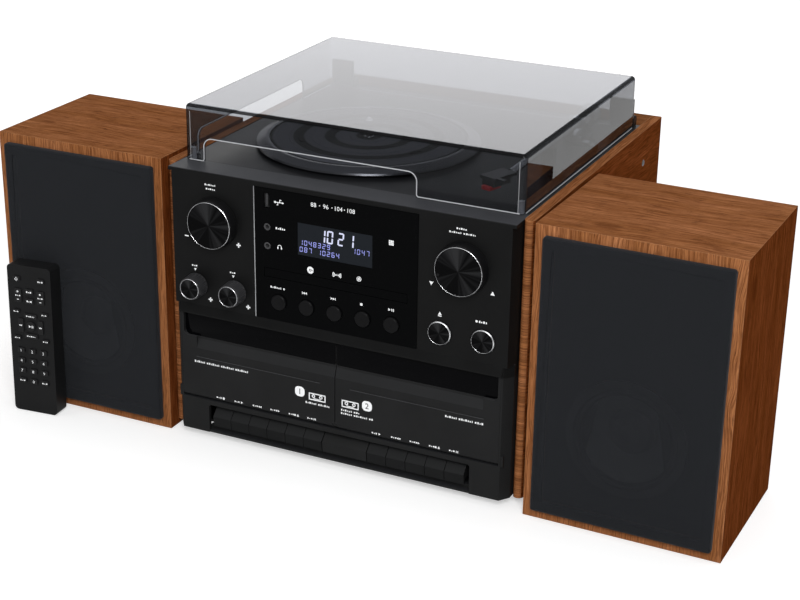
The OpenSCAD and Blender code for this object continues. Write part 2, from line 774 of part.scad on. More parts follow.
module deck_plate() {
    front = face_y + ledge_d + 0.2;
    ear_t = 3.5;
    switch_len = 28;
    color(black)
    difference() {
        union() {
            translate([-inner, front, deck_z - deck_t]) cube([2 * inner, deck_back - front, deck_t]);
            // well under the platter
            translate([plat_x, plat_y, well_z - 2.5]) cylinder(r = well_r + 2.5, h = 12.4, $fn = 96);
            // boss of the tonearm bearing
            translate([arm_x, arm_y, deck_z - 9]) cylinder(r = 8, h = 9);
            translate([arm_x, arm_y, deck_z]) cylinder(r = 14, h = 3);
            // arm rest: a post under the tube
            translate([arm_x - 5, rest_y - 4, deck_z - 1])
            cube([10, 8, arm_up + 1 - tube_r - slack]);
            // ears of the cue lever
            for (x = [-4.6, 3.1])
                translate([cue_x + x, cue_y - 4, deck_z - 1]) cube([1.5, 8, 8.5]);
            // ears of the lid hinges
            for (s = [-1, 1], e = [-11.5, 8])
                translate([s * hinge_x + e, 0, 0])
                bar_x(0, ear_t) {
                    translate([hinge_y, hinge_z]) circle(hinge_r);
                    translate([hinge_y - 3.8, deck_z - 1]) square([7.6, 5]);
                }
        }
        translate([plat_x, plat_y, well_z]) cylinder(r = well_r, h = 20, $fn = 96);
        translate([motor_x, motor_y, well_z - 5]) cylinder(r = 2, h = 10);
        translate([arm_x, arm_y, deck_z - 20]) cylinder(r = 3 + fit, h = 40);
        translate([switch_x - 1.5, switch_y - 3, deck_z - 6]) cube([3, switch_len, 12]);
        rod_along_x(cue_y, cue_z, cue_x - 9, cue_x + 11, 1 + fit);
        for (s = [-1, 1])
            rod_along_x(hinge_y, hinge_z, s * hinge_x - 13, s * hinge_x + 13, 2.5 + fit);
    }
}

module platter_spindle() {
    journal = 4;
    pin_z = mat_z + mat_t;
    color(silver) {
        translate([plat_x, plat_y, well_z]) cylinder(r = 8, h = rim_z - 3.3 - slack - well_z);
        translate([plat_x, plat_y, well_z]) cylinder(r = journal, h = pin_z - well_z);
        translate([plat_x, plat_y, pin_z]) cylinder(r = spindle_r, h = spindle_up);
        translate([plat_x, plat_y, pin_z + spindle_up]) cylinder(r1 = spindle_r, r2 = 1.6, h = 2.4);
    }
}

module platter() {
    color(silver)
    translate([plat_x, plat_y, rim_z])
    rotate_extrude($fn = 128)
    polygon([
        [4 + fit, -3.3], [12, -3.3], [12, 2], [drive_r - 3, 2], [drive_r - 3, -8], [drive_r, -8],
        [drive_r, 2], [plat_r - 5, 2], [plat_r - 5, 0], [plat_r - 1, 0], [plat_r, 1.6],
        [plat_r - 0.6, 3.2], [plat_r - 9, rim_h], [plat_r - 12, rim_h], [plat_r - 12.8, 4.5], [4 + fit, 4.5]
    ]);
}

module platter_mat() {
    mat_r = plat_r - 13.2;
    low_t = mat_t - 0.4;
    pads = 3;
    color(black)
    translate([plat_x, plat_y, mat_z]) {
        rotate_extrude($fn = 96)
        polygon([
            [5, 0], [mat_r, 0], [mat_r, mat_t], [mat_r - 4, mat_t], [mat_r - 5, low_t], [72, low_t],
            [71.2, mat_t], [70.4, low_t], [52, low_t], [51.2, mat_t], [50.4, low_t],
            [18, low_t], [17, mat_t], [5, mat_t]
        ]);
        // three oval rubber pads
        for (i = [0 : pads - 1])
            rotate(98 + i * 120) translate([61, 0, low_t - 0.3]) {
                translate([-2.5, -4, 0]) cube([5, 8, 0.9]);
                for (y = [-4, 4]) translate([0, y, 0]) cylinder(r = 2.5, h = 0.9, $fn = 24);
            }
    }
}

module turntable_motor() {
    color(silver)
    difference() {
        translate([motor_x, motor_y, well_z - 2.5 - 22]) cylinder(r = 17, h = 22);
        translate([motor_x, motor_y, well_z - 22]) cylinder(r = 1 + fit, h = 30);
    }
}

module motor_pulley() {
    color(brass)
    translate([motor_x, motor_y, 0]) {
        translate([0, 0, well_z - 20]) cylinder(r = 1, h = 24);
        translate([0, 0, well_z + 1.5])
        rotate_extrude()
        polygon([
            [0, 0], [pulley_r + 0.9, 0], [pulley_r, 1], [pulley_r, 6],
            [pulley_r + 0.9, 7], [0, 7]
        ]);
    }
}

module drive_belt() {
    belt_t = 0.8;
    loose = 0.4;
    color([0.12, 0.12, 0.12])
    translate([0, 0, well_z + 3]) linear_extrude(4)
    difference() {
        hull() {
            translate([plat_x, plat_y]) circle(drive_r + loose + belt_t, $fn = 80);
            translate([motor_x, motor_y]) circle(pulley_r + loose + belt_t, $fn = 24);
        }
        hull() {
            translate([plat_x, plat_y]) circle(drive_r + loose, $fn = 80);
            translate([motor_x, motor_y]) circle(pulley_r + loose, $fn = 24);
        }
    }
}

module tonearm_gimbal() {
    color(grey)
    translate([arm_x, arm_y, 0]) {
        translate([0, 0, deck_z - 12]) cylinder(r = 3, h = 16);
        translate([0, 0, deck_z + 3 + slack]) cylinder(r = 12, h = 5);
        for (s = [-1, 1])
            bar_x(s * 8.6 - 1.5, 3) {
                translate([-5, deck_z + 6]) square([10, arm_up - 6]);
                translate([0, arm_z]) circle(5);
            }
        rod_along_x(0, arm_z, -8.6, 8.6, 1.5);
    }
}

module tonearm() {
    tube_end = arm_l - 24;
    color(silver)
    translate([arm_x, arm_y, arm_z])
    difference() {
        union() {
            bar_x(-6.5, 13) {
                translate([-6, -4]) square([12, 8]);
            }
            rod_along_y(0, 0, -tube_end, 16, tube_r);
            // counterweight
            translate([0, 14, 0]) rotate([-90, 0, 0])
            rotate_extrude()
            polygon([[0, 0], [8.4, 0], [9.6, 1.2], [9.6, 16], [8.4, 17.2], [0, 17.2]]);
        }
        rod_along_x(0, 0, -8, 8, 1.5 + fit);
    }
}

module cartridge() {
    offset_turn = 20;
    color([0.12, 0.12, 0.13])
    translate([arm_x, arm_y - arm_l + 24, arm_z])
    difference() {
        rotate(-offset_turn) {
            // headshell plate with its finger lift
            translate([-8, -28, 0]) cube([16, 27, 2.6]);
            translate([7, -26, 1]) cube([9, 4, 1.6]);
            // cartridge body and stylus holder
            translate([-6.5, -27, -5.4]) cube([13, 20, 5.5]);
            translate([-4, -29, -8]) cube([8, 12, 2.7]);
            translate([0, -24, -8.6]) cylinder(r = 0.4, h = 1);
        }
        rod_along_y(0, 0, -1, 12, tube_r + 1);
    }
}

module cue_lever() {
    color(silver) {
        rod_along_x(cue_y, cue_z, cue_x - 4.6, cue_x + 4.6, 1);
        rod_along_x(cue_y, cue_z, cue_x - 2.7, cue_x + 2.7, 2.4);
        bar_x(cue_x - 1.2, 2.4)
        polygon([
            [cue_y + 1, cue_z + 1.6], [cue_y - 14, cue_z + 8], [cue_y - 15, cue_z + 6],
            [cue_y, cue_z - 1.6]
        ]);
        translate([cue_x - 3, cue_y - 20, cue_z + 5.6]) cube([6, 7, 2.6]);
    }
}

module speed_switch() {
    x = switch_x;
    y = switch_y + 5;
    color(grey) {
        translate([x - 4, y - 7, deck_z + slack]) cube([8, 14, 2]);
        translate([x - 3, y - 2, deck_z + 2]) cube([6, 4, 3]);
        translate([x - 1.2, y - 3.5, deck_z - 6]) cube([2.4, 7, 7]);
    }
}

// ---------- lid ----------

// Box with rounded upright and top edges, open at its foot
module lid_block(w, d, h, r) {
    hull()
    for (x = [r - w / 2, w / 2 - r], y = [r, d - r]) translate([x, y, 0]) {
        cylinder(r = r, h = 1, $fn = 24);
        translate([0, 0, h - r]) sphere(r, $fn = 24);
    }
}

module dust_cover() {
    front_gap = plat_in - lid_in;
    side_gap = lid_w / 2 - plat_left;
    front_half = sqrt(record_r * record_r - front_gap * front_gap) + 2;
    side_half = sqrt(record_r * record_r - side_gap * side_gap) + 1;
    bumper_r = 3;
    color([0.35, 0.36, 0.38, 0.4])
    difference() {
        translate([0, lid_y, lid_z]) lid_block(lid_w, lid_d, lid_h, lid_edge);
        translate([0, lid_y + lid_t, lid_z - 1])
        lid_block(lid_w - 2 * lid_t, lid_d - 2 * lid_t, lid_h + 1 - lid_t, lid_edge - lid_t / 2);
        // cut-outs that a long-playing record reaches through
        translate([plat_x - front_half, lid_y + 9, lid_z - 9]) rotate([90, 0, 0])
        linear_extrude(12) round_rect(2 * front_half, lid_cut + 9, 8);
        translate([-lid_w / 2 - 3, plat_y - side_half, lid_z - 9]) rotate([90, 0, 90])
        linear_extrude(12) round_rect(2 * side_half, lid_cut + 9, 8);
    }
    // clear bumpers in the front corners
    color([0.8, 0.8, 0.8, 0.6])
    for (s = [-1, 1])
        translate([s * (lid_w / 2 - lid_t - bumper_r + 0.7), lid_y + lid_t + bumper_r - 0.7, deck_z + 0.2])
        cylinder(r = bumper_r, h = 10);
}

module lid_hinge_arms() {
    arm_z0 = hinge_z + 3.7;
    color(black)
    for (s = [-1, 1]) translate([s * hinge_x, 0, 0]) {
        translate([-11.5, lid_back, arm_z0]) cube([23, 2.8, 18]);
        rod_along_x(hinge_y, hinge_z, -11.5, 11.5, 2.5);
        rod_along_x(hinge_y, hinge_z, -7.7, 7.7, 4.6);
        translate([-7.7, lid_back, hinge_z + 1]) cube([15.4, 7, 3.6]);
    }
}

// ---------- inside ----------

module circuit_boards() {
    board_t = 1.6;
    pillar_h = 12;
    main_z = floor_z + pillar_h;
    main_x = -inner + 31;
    main_l = inner + 29;
    main_d = 180;
    main_y = back_y - back_t - 58 - main_d;
    pillar_in = 8;
    sink_h = 34;
    sink_l = 70;
    fins = 7;
    sink_y = main_y + 140;
    well_x = disc_r + 15;
    color(green) {
        // control board behind the front
        difference() {
            plate_y(board_y, board_t) translate([-inner + 10, lip_z + 4])
            square([2 * inner - 20, deck_z - lip_z - 14]);
            translate([-well_x, board_y - 1, tray_z - 19]) cube([2 * well_x, board_t + 2, tray_t + 31]);
        }
        // main board on its pillars
        translate([main_x, main_y, main_z]) cube([main_l, main_d, board_t]);
    }
    color(silver) {
        for (x = [pillar_in, main_l / 2, main_l - pillar_in], y = [pillar_in, main_d - pillar_in])
            translate([main_x + x, main_y + y, floor_z]) cylinder(r = 3.5, h = pillar_h + 0.1);
        // heat sink with fins, and the large capacitors
        translate([main_x + 10, sink_y, main_z + board_t - 0.1]) {
            cube([sink_l, 4, sink_h]);
            for (i = [0 : fins - 1]) translate([2 + i * (sink_l - 6) / (fins - 1), 0, 0]) cube([2, 18, sink_h]);
            for (i = [0 : 2]) translate([sink_l + 26 + i * 24, 0, 0]) cylinder(r = 9, h = 30);
        }
    }
}

module transformer() {
    x = inner - 85;
    y = back_y - 100;
    color(grey) translate([x, y, floor_z]) {
        translate([0, 8, 0]) cube([66, 34, 54]);
        translate([-8, 8, 0]) cube([82, 34, 2]);
    }
    color(brass) translate([x + 13, y, floor_z + 10]) cube([40, 50, 34]);
}

// Spring-clip block with two holes for bare wire, on the plane y = 0, facing +Y
module wire_clips() {
    difference() {
        cube([40, 8, 24]);
        for (x = [11, 29]) translate([x, 2, 8]) rotate([-90, 0, 0]) cylinder(r = 2, h = 8);
    }
    for (x = [11, 29]) translate([x - 5, 7, 14]) cube([10, 4, 7]);
}

module rear_sockets() {
    line_z = floor_z + 60;
    color(black) {
        for (x = [31, 77]) translate([x - inner, back_y, floor_z + 20]) wire_clips();
        // line output
        translate([-24, back_y, line_z - 10]) cube([16, 2.5, 38]);
        // mains inlet with its figure-of-eight hole
        translate([inner - 50, back_y, floor_z + 24])
        difference() {
            cube([30, 3, 20]);
            for (x = [11, 19]) translate([x, 1, 10]) rotate([-90, 0, 0]) cylinder(r = 4, h = 4);
            translate([11, 1, 7.6]) cube([8, 4, 4.8]);
        }
        // blocks on the backs of the speakers
        translate([spk_l_x + spk_w / 2 - 20, spk_l_y + spk_d, 60]) wire_clips();
        speaker_right_place() translate([spk_w / 2 - 20, spk_d, 60]) wire_clips();
    }
    color(silver) {
        for (z = [line_z, line_z + 18])
            translate([-16, back_y + 2, z]) rotate([-90, 0, 0])
            difference() {
                cylinder(r = 4.15, h = 9);
                translate([0, 0, 1]) cylinder(r = 1.6, h = 9);
            }
        // aerial socket
        translate([30, back_y, line_z + 9]) rotate([-90, 0, 0])
        difference() {
            cylinder(r = 6.5, h = 9);
            translate([0, 0, 1]) cylinder(r = 4.75, h = 9);
        }
    }
}

// ---------- speakers ----------

module speaker_right_place() {
    translate([spk_r_x, spk_r_y, 0]) rotate(-spk_turn) children();
}

module speaker_left_place() {
    translate([spk_l_x, spk_l_y, 0]) children();
}

// Wooden box with its left front corner at the origin
module speaker_box() {
    difference() {
        cube([spk_w, spk_d, spk_h]);
        translate([spk_t, spk_t, spk_t]) cube([spk_w - 2 * spk_t, spk_d - 2 * spk_t, spk_h - 2 * spk_t]);
        translate([spk_w / 2, -1, woofer_z]) rotate([-90, 0, 0]) cylinder(r = woofer_r - 6, h = spk_t + 2);
    }
}

// Frame with rounded corners and a thin cloth stretched over its front
module grille() {
    w = spk_w - 2 * grille_margin;
    h = spk_h - 2 * (grille_margin + 0.7);
    frame_w = 9;
    translate([grille_margin, 0, grille_margin + 0.7]) {
        difference() {
            plate_y(-grille_t, grille_t) round_rect(w, h, 2);
            plate_y(-grille_t + 1.2, grille_t)
            translate([frame_w, frame_w]) round_rect(w - 2 * frame_w, h - 2 * frame_w, 4);
        }
    }
}

// Woofer: frame flange, surround, cone and dust cap in front, magnet behind
module woofer() {
    translate([spk_w / 2, 0, woofer_z]) rotate([90, 0, 0])
    rotate_extrude()
    polygon([
        [0, -52], [34, -52], [34, -34], [18, -34], [18, -28], [woofer_r - 7, -4], [woofer_r - 7, 0],
        [woofer_r, 0], [woofer_r, 2.4], [44, 2.4], [42.4, 3.6], [40.4, 3.6], [38.8, 2.2], [38, 0],
        [19.5, -15], [16, -11.6], [9, -8.6], [0, -7.4]
    ]);
}

module speaker_box_left() { color(oak) speaker_left_place() speaker_box(); }
module speaker_box_right() { color(oak) speaker_right_place() speaker_box(); }

module speaker_grilles() {
    color(black) {
        speaker_left_place() grille();
        speaker_right_place() grille();
    }
}

module woofers() {
    color(grey) {
        speaker_left_place() woofer();
        speaker_right_place() woofer();
    }
}

// ---------- remote control ----------

bay_w = 25;
bay_l = 50;
bay_up = 30;
cover_t = 1.6;
cover_slide = 6;

// Leaning against the left grille: x across, z up its length, back face at y = 0
module remote_place() {
    translate([rem_x, rem_y, 0]) rotate([0, 0, rem_turn]) rotate([-rem_lean, 0, 0]) children();
}

module remote_case() {
    lip = 2;
    color(black)
    remote_place()
    difference() {
        plate_y(-rem_t, rem_t) round_rect(rem_w, rem_l, 4);
        // bay for two small cells, and the recess that its cover slides in
        translate([rem_w / 2 - bay_w / 2, -12, bay_up]) cube([bay_w, 13, bay_l]);
        translate([rem_w / 2 - bay_w / 2 - lip - gap, -cover_t - 0.3, bay_up - lip - cover_slide - gap])
        cube([bay_w + 2 * lip + 2 * gap, 3, bay_l + 2 * lip + cover_slide + 2 * gap]);
    }
}

module remote_battery_cover() {
    lip = 2;
    color(black)
    remote_place() {
        translate([rem_w / 2 - bay_w / 2 - lip, -cover_t, bay_up - lip])
        cube([bay_w + 2 * lip, cover_t - 0.1, bay_l + 2 * lip]);
    }
}

module remote_key(x, z, w, h) {
    translate([x - w / 2, 0, z - h / 2]) plate_y(-rem_t - 1.4, 1.4) round_rect(w, h, 0.9);
}

module remote_keys() {
    col = 11.6;
    mid = rem_w / 2;
    color(grey)
    remote_place() {
        for (s = [-1, 1]) {
            remote_key(mid + s * 12.4, rem_l - 13, 7, 5);
            remote_key(mid + s * col, rem_l - 29, 7, 13);
            for (z = [45, 71]) remote_key(mid + s * 14.6, rem_l - z, 7, 4);
            remote_key(mid + s * 10.2, rem_l - 58, 5, 13);
            remote_key(mid, rem_l - 29 + s * 4.5, 8, 5.4);
            remote_key(mid, rem_l - 58 + s * 9.8, 13, 4.6);
        }
        translate([mid, -rem_t, rem_l - 58]) rotate([90, 0, 0]) cylinder(r = 4.6, h = 1.6);
        for (r = [0 : 3], c = [-1 : 1]) remote_key(mid + c * col, rem_l - 83 - r * 10, 7, 5);
    }
}

// ---------- assembly ----------

side_panels();
rear_rail();
back_cover();
base_plate();
feet();
front_panel();
display_panel();
lcd_module();
front_sockets();
deck_plate();
platter_spindle();
turntable_motor();
drive_belt();
cd_mechanism();
cassette_mechanisms();
circuit_boards();
transformer();
rear_sockets();
speaker_box_left();
speaker_box_right();
speaker_grilles();
woofers();
remote_case();
remote_keys();
dust_cover();
lid_hinge_arms();
platter();
platter_mat();
motor_pulley();
tonearm_gimbal();
tonearm();
cartridge();
cue_lever();
speed_switch();
volume_knob();
scroll_knob();
bass_knob();
treble_knob();
eject_button();
record_button();
info_button();
previous_button();
next_button();
stop_button();
play_button();
cd_drawer();
cassette_door_left();
cassette_door_right();
key1_record();
key1_play();
key1_rewind();
key1_forward();
key1_stop();
key1_pause();
key2_play();
key2_rewind();
key2_forward();
key2_stop();
key2_pause();
remote_battery_cover();
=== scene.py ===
"""Looks of the stereo music centre: materials, prints, trims, cloth, lid, light and camera."""

import math

import bmesh
import bpy
from mathutils import Matrix, Vector


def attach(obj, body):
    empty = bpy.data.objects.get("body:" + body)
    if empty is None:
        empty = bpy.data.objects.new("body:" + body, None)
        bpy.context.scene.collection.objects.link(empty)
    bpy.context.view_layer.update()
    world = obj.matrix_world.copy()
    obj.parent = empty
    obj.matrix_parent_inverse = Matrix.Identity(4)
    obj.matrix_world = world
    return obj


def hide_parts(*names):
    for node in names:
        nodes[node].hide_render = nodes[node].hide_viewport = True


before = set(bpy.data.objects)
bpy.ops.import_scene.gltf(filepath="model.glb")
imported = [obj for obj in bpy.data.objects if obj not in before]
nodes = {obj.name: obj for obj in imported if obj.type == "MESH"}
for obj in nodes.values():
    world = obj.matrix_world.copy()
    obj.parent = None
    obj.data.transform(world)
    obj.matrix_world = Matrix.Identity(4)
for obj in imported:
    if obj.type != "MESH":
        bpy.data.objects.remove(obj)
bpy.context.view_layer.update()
MM = 0.001

# ---------- sizes in millimetres, as in the part's source ----------

FACE_Y = -178.0        # front of the moulding
GLOSS_Y = -178.5       # front of the gloss panel
GLASS_Y = -178.1       # front of the display window
WINDOW_Y = -174.8      # set-back front of the door windows
PANEL_Z, PANEL_H, PANEL_W = 131.6, 118.4, 152.0
LEDGE_Z = 120.4        # under the upper front
KNOB_X, KNOB_Z = 116.0, 210.5
TONE_X = (135.3, 96.7)
SMALL_Z = 150.0        # tone knobs, eject and record buttons
KEY_PRINT_Z = 44.8
LID_Z, LID_Y, LID_W, LID_D, LID_H = 255.0, -154.4, 315.0, 272.5, 49.5
LID_TOP = LID_Z + LID_H
LID_SKIN = 1.8         # outer part of the lid's wall
LID_CUT = 21.0         # height of the lid's cut-outs
LID_GAPS = (116.4, 119.5)  # spindle to the lid's front and left wall
BUMPER = (152.7, -149.6)   # clear bumpers in the lid's front corners
RECORD_R = 152.4
PLATTER = (-38.0, -38.0)
RING_PITCH = 28.0      # of the rings in the mat
ARM = (127.0, 56.0, 273.0)
ARM_LENGTH = 189.997
SPEAKER_W, SPEAKER_H = 170.7, 258.5
SPEAKER_LEFT = (-341.2, -174.0)
SPEAKER_RIGHT = (175.7, -176.0)
WOOFER_Z = 90.0


# ---------- node trees ----------

class Field:
    """A number in a node tree. Arithmetic on it adds Math nodes; & and | are both and either."""

    def __init__(self, tree, socket):
        self.tree, self.socket = tree, socket

    def math(self, operation, *others):
        inputs = dict(enumerate((self, *others)))
        return self.tree.number("Math", inputs, operation=operation)

    def __add__(self, other):
        return self.math("ADD", other)

    def __sub__(self, other):
        return self.math("SUBTRACT", other)

    def __mul__(self, other):
        return self.math("MULTIPLY", other)

    def __pow__(self, other):
        return self.math("POWER", other)

    def __gt__(self, other):
        return self.math("GREATER_THAN", other)

    def __lt__(self, other):
        return self.math("LESS_THAN", other)

    def __and__(self, other):
        return self.math("MULTIPLY", other)

    def __or__(self, other):
        return self.math("MAXIMUM", other)

    def __abs__(self):
        return self.math("ABSOLUTE")


def distance(u, v):
    return (u * u + v * v) ** 0.5


def scaled(colour, by, plus=0.0):
    return tuple(min(1, c * by + plus) for c in colour)


class Tree:
    """The node tree of a material or world. Colours are tuples of three, or sockets."""

    def __init__(self, owner):
        self.owner = owner
        owner.use_nodes = True
        self.nodes, self.links = owner.node_tree.nodes, owner.node_tree.links
        self.nodes.clear()

    def add(self, kind, inputs=None, **props):
        """A node with its properties, and its inputs set to a value or linked."""
        node = self.nodes.new("ShaderNode" + kind)
        for key, value in props.items():
            setattr(node, key, value)
        for key, value in (inputs or {}).items():
            socket = node.inputs[key]
            if isinstance(value, Field):
                value = value.socket
            if isinstance(value, bpy.types.NodeSocket):
                self.links.new(value, socket)
            else:
                socket.default_value = (*value, 1) if socket.type == "RGBA" else value
        return node

    def number(self, kind, inputs=None, output=0, **props):
        return Field(self, self.add(kind, inputs, **props).outputs[output])

    def coords(self, kind="Object"):
        return self.add("TexCoord").outputs[kind]

    def place(self, scale=1.0):
        """Object coordinates in millimetres, times a scale of one number or three."""
        scale = scale if isinstance(scale, tuple) else (scale,) * 3
        return self.add("Mapping", {
            "Vector": self.coords(), "Scale": tuple(s / MM for s in scale)}).outputs["Vector"]

    def xyz(self, vector=None):
        """The parts of a vector; without one, those of the place in millimetres."""
        parts = self.add("SeparateXYZ", {0: self.place() if vector is None else vector}).outputs
        return [Field(self, part) for part in parts]

    def vector(self, *parts):
        return self.add("CombineXYZ", dict(enumerate(parts))).outputs[0]

    def noise(self, at, detail=2.0, rough=0.5, distort=0.0):
        """Noise at a vector, or at the place times a scale."""
        vector = at if isinstance(at, bpy.types.NodeSocket) else self.place(at)
        return self.number("TexNoise", {"Vector": vector, "Scale": 1.0, "Detail": detail,
                                        "Roughness": rough, "Distortion": distort}, "Fac")

    def ramp(self, field, *stops):
        """A number turned into another by (position, value) stops."""
        node = self.add("ValToRGB", {"Fac": field})
        elements = node.color_ramp.elements
        while len(elements) < len(stops):
            elements.new(0.5)
        for element, (position, value) in zip(elements, stops):
            element.position = position
            element.color = (value, value, value, 1)
        return Field(self, node.outputs["Color"])

    def mix(self, fac, a, b, blend="MIX"):
        """Mixes two colours."""
        return self.add("Mix", {0: fac, 6: a, 7: b}, data_type="RGBA", blend_type=blend).outputs[2]

    def between(self, fac, a, b):
        """Mixes two numbers."""
        return self.number("Mix", {0: fac, 2: a, 3: b}, data_type="FLOAT")

    def soft_edges(self, radius):
        """Normals that round an edge by a radius in millimetres."""
        return self.add("Bevel", {"Radius": radius * MM}, samples=4).outputs["Normal"]

    def edge_mask(self, radius, low=0.75):
        """1 along edges, 0 on flat faces."""
        flat = self.add("NewGeometry").outputs["Normal"]
        dot = self.number("VectorMath", {0: self.soft_edges(radius), 1: flat}, "Value",
                          operation="DOT_PRODUCT")
        return self.ramp(dot, (low, 1.0), (0.97, 0.0))

    def bump(self, height, strength, depth=0.2, edge=None):
        """Relief of a depth in millimetres, over normals that round the edges."""
        inputs = {"Height": height, "Strength": strength, "Distance": depth * MM}
        if edge is not None:
            inputs["Normal"] = self.soft_edges(edge)
        return self.add("Bump", inputs).outputs["Normal"]

    def rays(self):
        """Rays from the camera or through glass, and reflected rays."""
        path = self.add("LightPath").outputs
        camera, through, glossy = [Field(self, path[f"Is {kind} Ray"])
                                   for kind in ("Camera", "Transmission", "Glossy")]
        return camera | through, glossy

    def shader(self, kind, inputs):
        return self.add(kind, inputs).outputs[0]

    def blend(self, share, a, b):
        return self.shader("MixShader", {0: share, 1: a, 2: b})

    def finish(self, shader):
        self.add("OutputMaterial", {"Surface": shader})
        return self.owner

    def surface(self, colour, rough, specular, normal=None, metallic=0.0, more=None):
        """Ends a material in one Principled shader."""
        inputs = {"Base Color": colour, "Roughness": rough, "Metallic": metallic, **(more or {})}
        if specular is not None:
            inputs["Specular IOR Level"] = specular
        if normal is not None:
            inputs["Normal"] = normal
        return self.finish(self.shader("BsdfPrincipled", inputs))


def new_material(name):
    return Tree(bpy.data.materials.new(name))


# ---------- materials ----------

def plastic(name, colour, rough=0.45, specular=0.3, grain=0.5, relief=0.12, edge=0.35,
            dust=None, low=None, dust_and_sheen_from=0.1):
    """Moulded plastic: spark texture, cloudy gloss, edges lightened partly by wear and partly as a
    painted highlight.
    Dust and a painted sheen of light from above grey what faces up; low is
    a height and a factor for what lies under it."""
    m = new_material(name)
    cloud = m.noise(0.03, 4, 0.6)
    fine = m.noise(1 / grain, 2, 0.7)
    tones = scaled(colour, 0.75), scaled(colour, 1.25, 0.001)
    base = m.mix(cloud, *tones)
    if low:
        height, factor = low
        under = m.xyz()[2] < height
        base = m.mix(under, base, m.mix(cloud, *[scaled(tone, factor) for tone in tones]))
        dust = m.mix(under, dust, scaled(dust, 0.45))
    # Dust and painted sheen: faces turned up are greyed, partly as dirt and partly as a painted
    # sheen of light from above
    if dust:
        up = m.xyz(m.coords("Normal"))[2]
        base = m.mix(m.ramp(up, (dust_and_sheen_from, 0), (0.95, 1)), base, dust)
    # edges lightened, partly as wear and partly as a painted highlight
    worn_and_highlit = m.mix(m.edge_mask(0.5), base, scaled(colour, 1.8, 0.006))
    return m.surface(worn_and_highlit, m.between(cloud, rough - 0.06, rough + 0.06), specular,
                     m.bump(fine, relief, edge=edge))


BRUSHING = {"x": (0.05, 6, 6), "y": (6, 0.05, 6), "z": (6, 6, 0.05), None: 1 / 0.3}


def metal(name, colour, rough=0.25, brushed=None, vary=0.12, metallic=1.0):
    """Metal with brushing along an axis or a cast texture."""
    m = new_material(name)
    lines = m.noise(BRUSHING[brushed], 3, 0.7)
    base = m.mix(m.noise(0.05, 3, 0.6), scaled(colour, 1 - vary), scaled(colour, 1 + vary))
    return m.surface(base, m.between(lines, max(0.02, rough - 0.08), rough + 0.08), None,
                     m.bump(lines, 0.08, 0.1, 0.2), metallic)


def wood(name, layout, tone, seed=0.0):
    """Oiled oak veneer. The layout says along which axis the grain runs on each face."""
    m = new_material(name)
    x, y, z = m.xyz()
    true_normal = m.add("NewGeometry").outputs["True Normal"]
    is_side, is_front, is_top = [abs(part) > 0.7 for part in m.xyz(true_normal)]
    if layout == "box":
        along, across = m.between(is_top, z, x), m.between(is_front, y, x)
    elif layout == "side":
        along, across = y, m.between(is_top, z, x)
    else:
        along, across = x, m.between(is_top, z, y)
    across = across + is_front * 311.0

    def grain(v, u, w, depth, detail, rough=0.6):
        return m.noise(m.vector(along * u, v * w, seed + depth), detail, rough)

    sway = grain(across, 0.012, 0.03, 3.0, 2)
    bent = across + (sway - 0.5) * 16.0
    bands = grain(bent, 0.006, 0.055, 7.0, 3)
    ripple = (bent * 0.55 + bands * 22.0).math("SINE")
    streaks = grain(bent, 0.022, 1.05, 11.0, 4, 0.65)
    pores = grain(bent, 0.075, 2.6, 17.0, 2, 0.5)
    knots = grain(bent, 0.02, 0.04, 23.0, 1)
    fibres = grain(bent, 0.05, 4.2, 29.0, 2)
    base = m.mix(m.ramp(bands, (0.3, 0), (0.7, 1)), scaled((0.215, 0.082, 0.028), tone),
                 scaled((0.335, 0.138, 0.060), tone))
    for field, start, end, colour in (
            (ripple, (0.35, 0), (1.0, 0.3), (0.13, 0.042, 0.013)),
            (streaks, (0.40, 0.85), (0.57, 0), (0.09, 0.027, 0.008)),
            (fibres, (0.38, 0.5), (0.5, 0), (0.085, 0.027, 0.009)),
            (fibres, (0.55, 0), (0.68, 0.3), (0.42, 0.19, 0.078)),
            (pores, (0.33, 0.9), (0.41, 0), (0.03, 0.010, 0.005)),
            (knots, (0.25, 0.5), (0.33, 0), (0.07, 0.022, 0.008))):
        base = m.mix(m.ramp(field, start, end), base, scaled(colour, tone))
    # front boards painted lighter and side boards painted darker and deeper in hue: painted light
    # and shade by which way a face turns, on the sides partly a deeper stain too
    base = m.mix(is_front, base, (1.25, 1.25, 1.22), "MULTIPLY")
    base = m.mix(is_side, base, (0.72, 0.50, 0.33), "MULTIPLY")
    # edges lightened, partly as wear and partly as a painted highlight
    worn_and_highlit = m.mix(m.edge_mask(0.7, 0.8) * 0.5, base, scaled((0.50, 0.27, 0.13), tone))
    relief = streaks * 0.4 + m.ramp(pores, (0.3, 0), (0.42, 1))
    return m.surface(worn_and_highlit, m.between(streaks, 0.42, 0.58), 0.0, m.bump(relief, 0.18, 0.3, 0.6))


def gloss_black(name, colour, rough, specular):
    """Polished black plastic with wiping marks and a few pale specks of dirt."""
    m = new_material(name)
    smear = m.noise((0.02, 0.05, 0.05), 4, 0.7)
    specks = m.ramp(m.noise(1.6, 1), (0.74, 0), (0.8, 0.35))
    return m.surface(m.mix(specks, colour, (0.05, 0.05, 0.055)),
                     m.between(smear, rough, rough + 0.07), specular, m.bump(smear, 0.03, 0.4, 0.3))


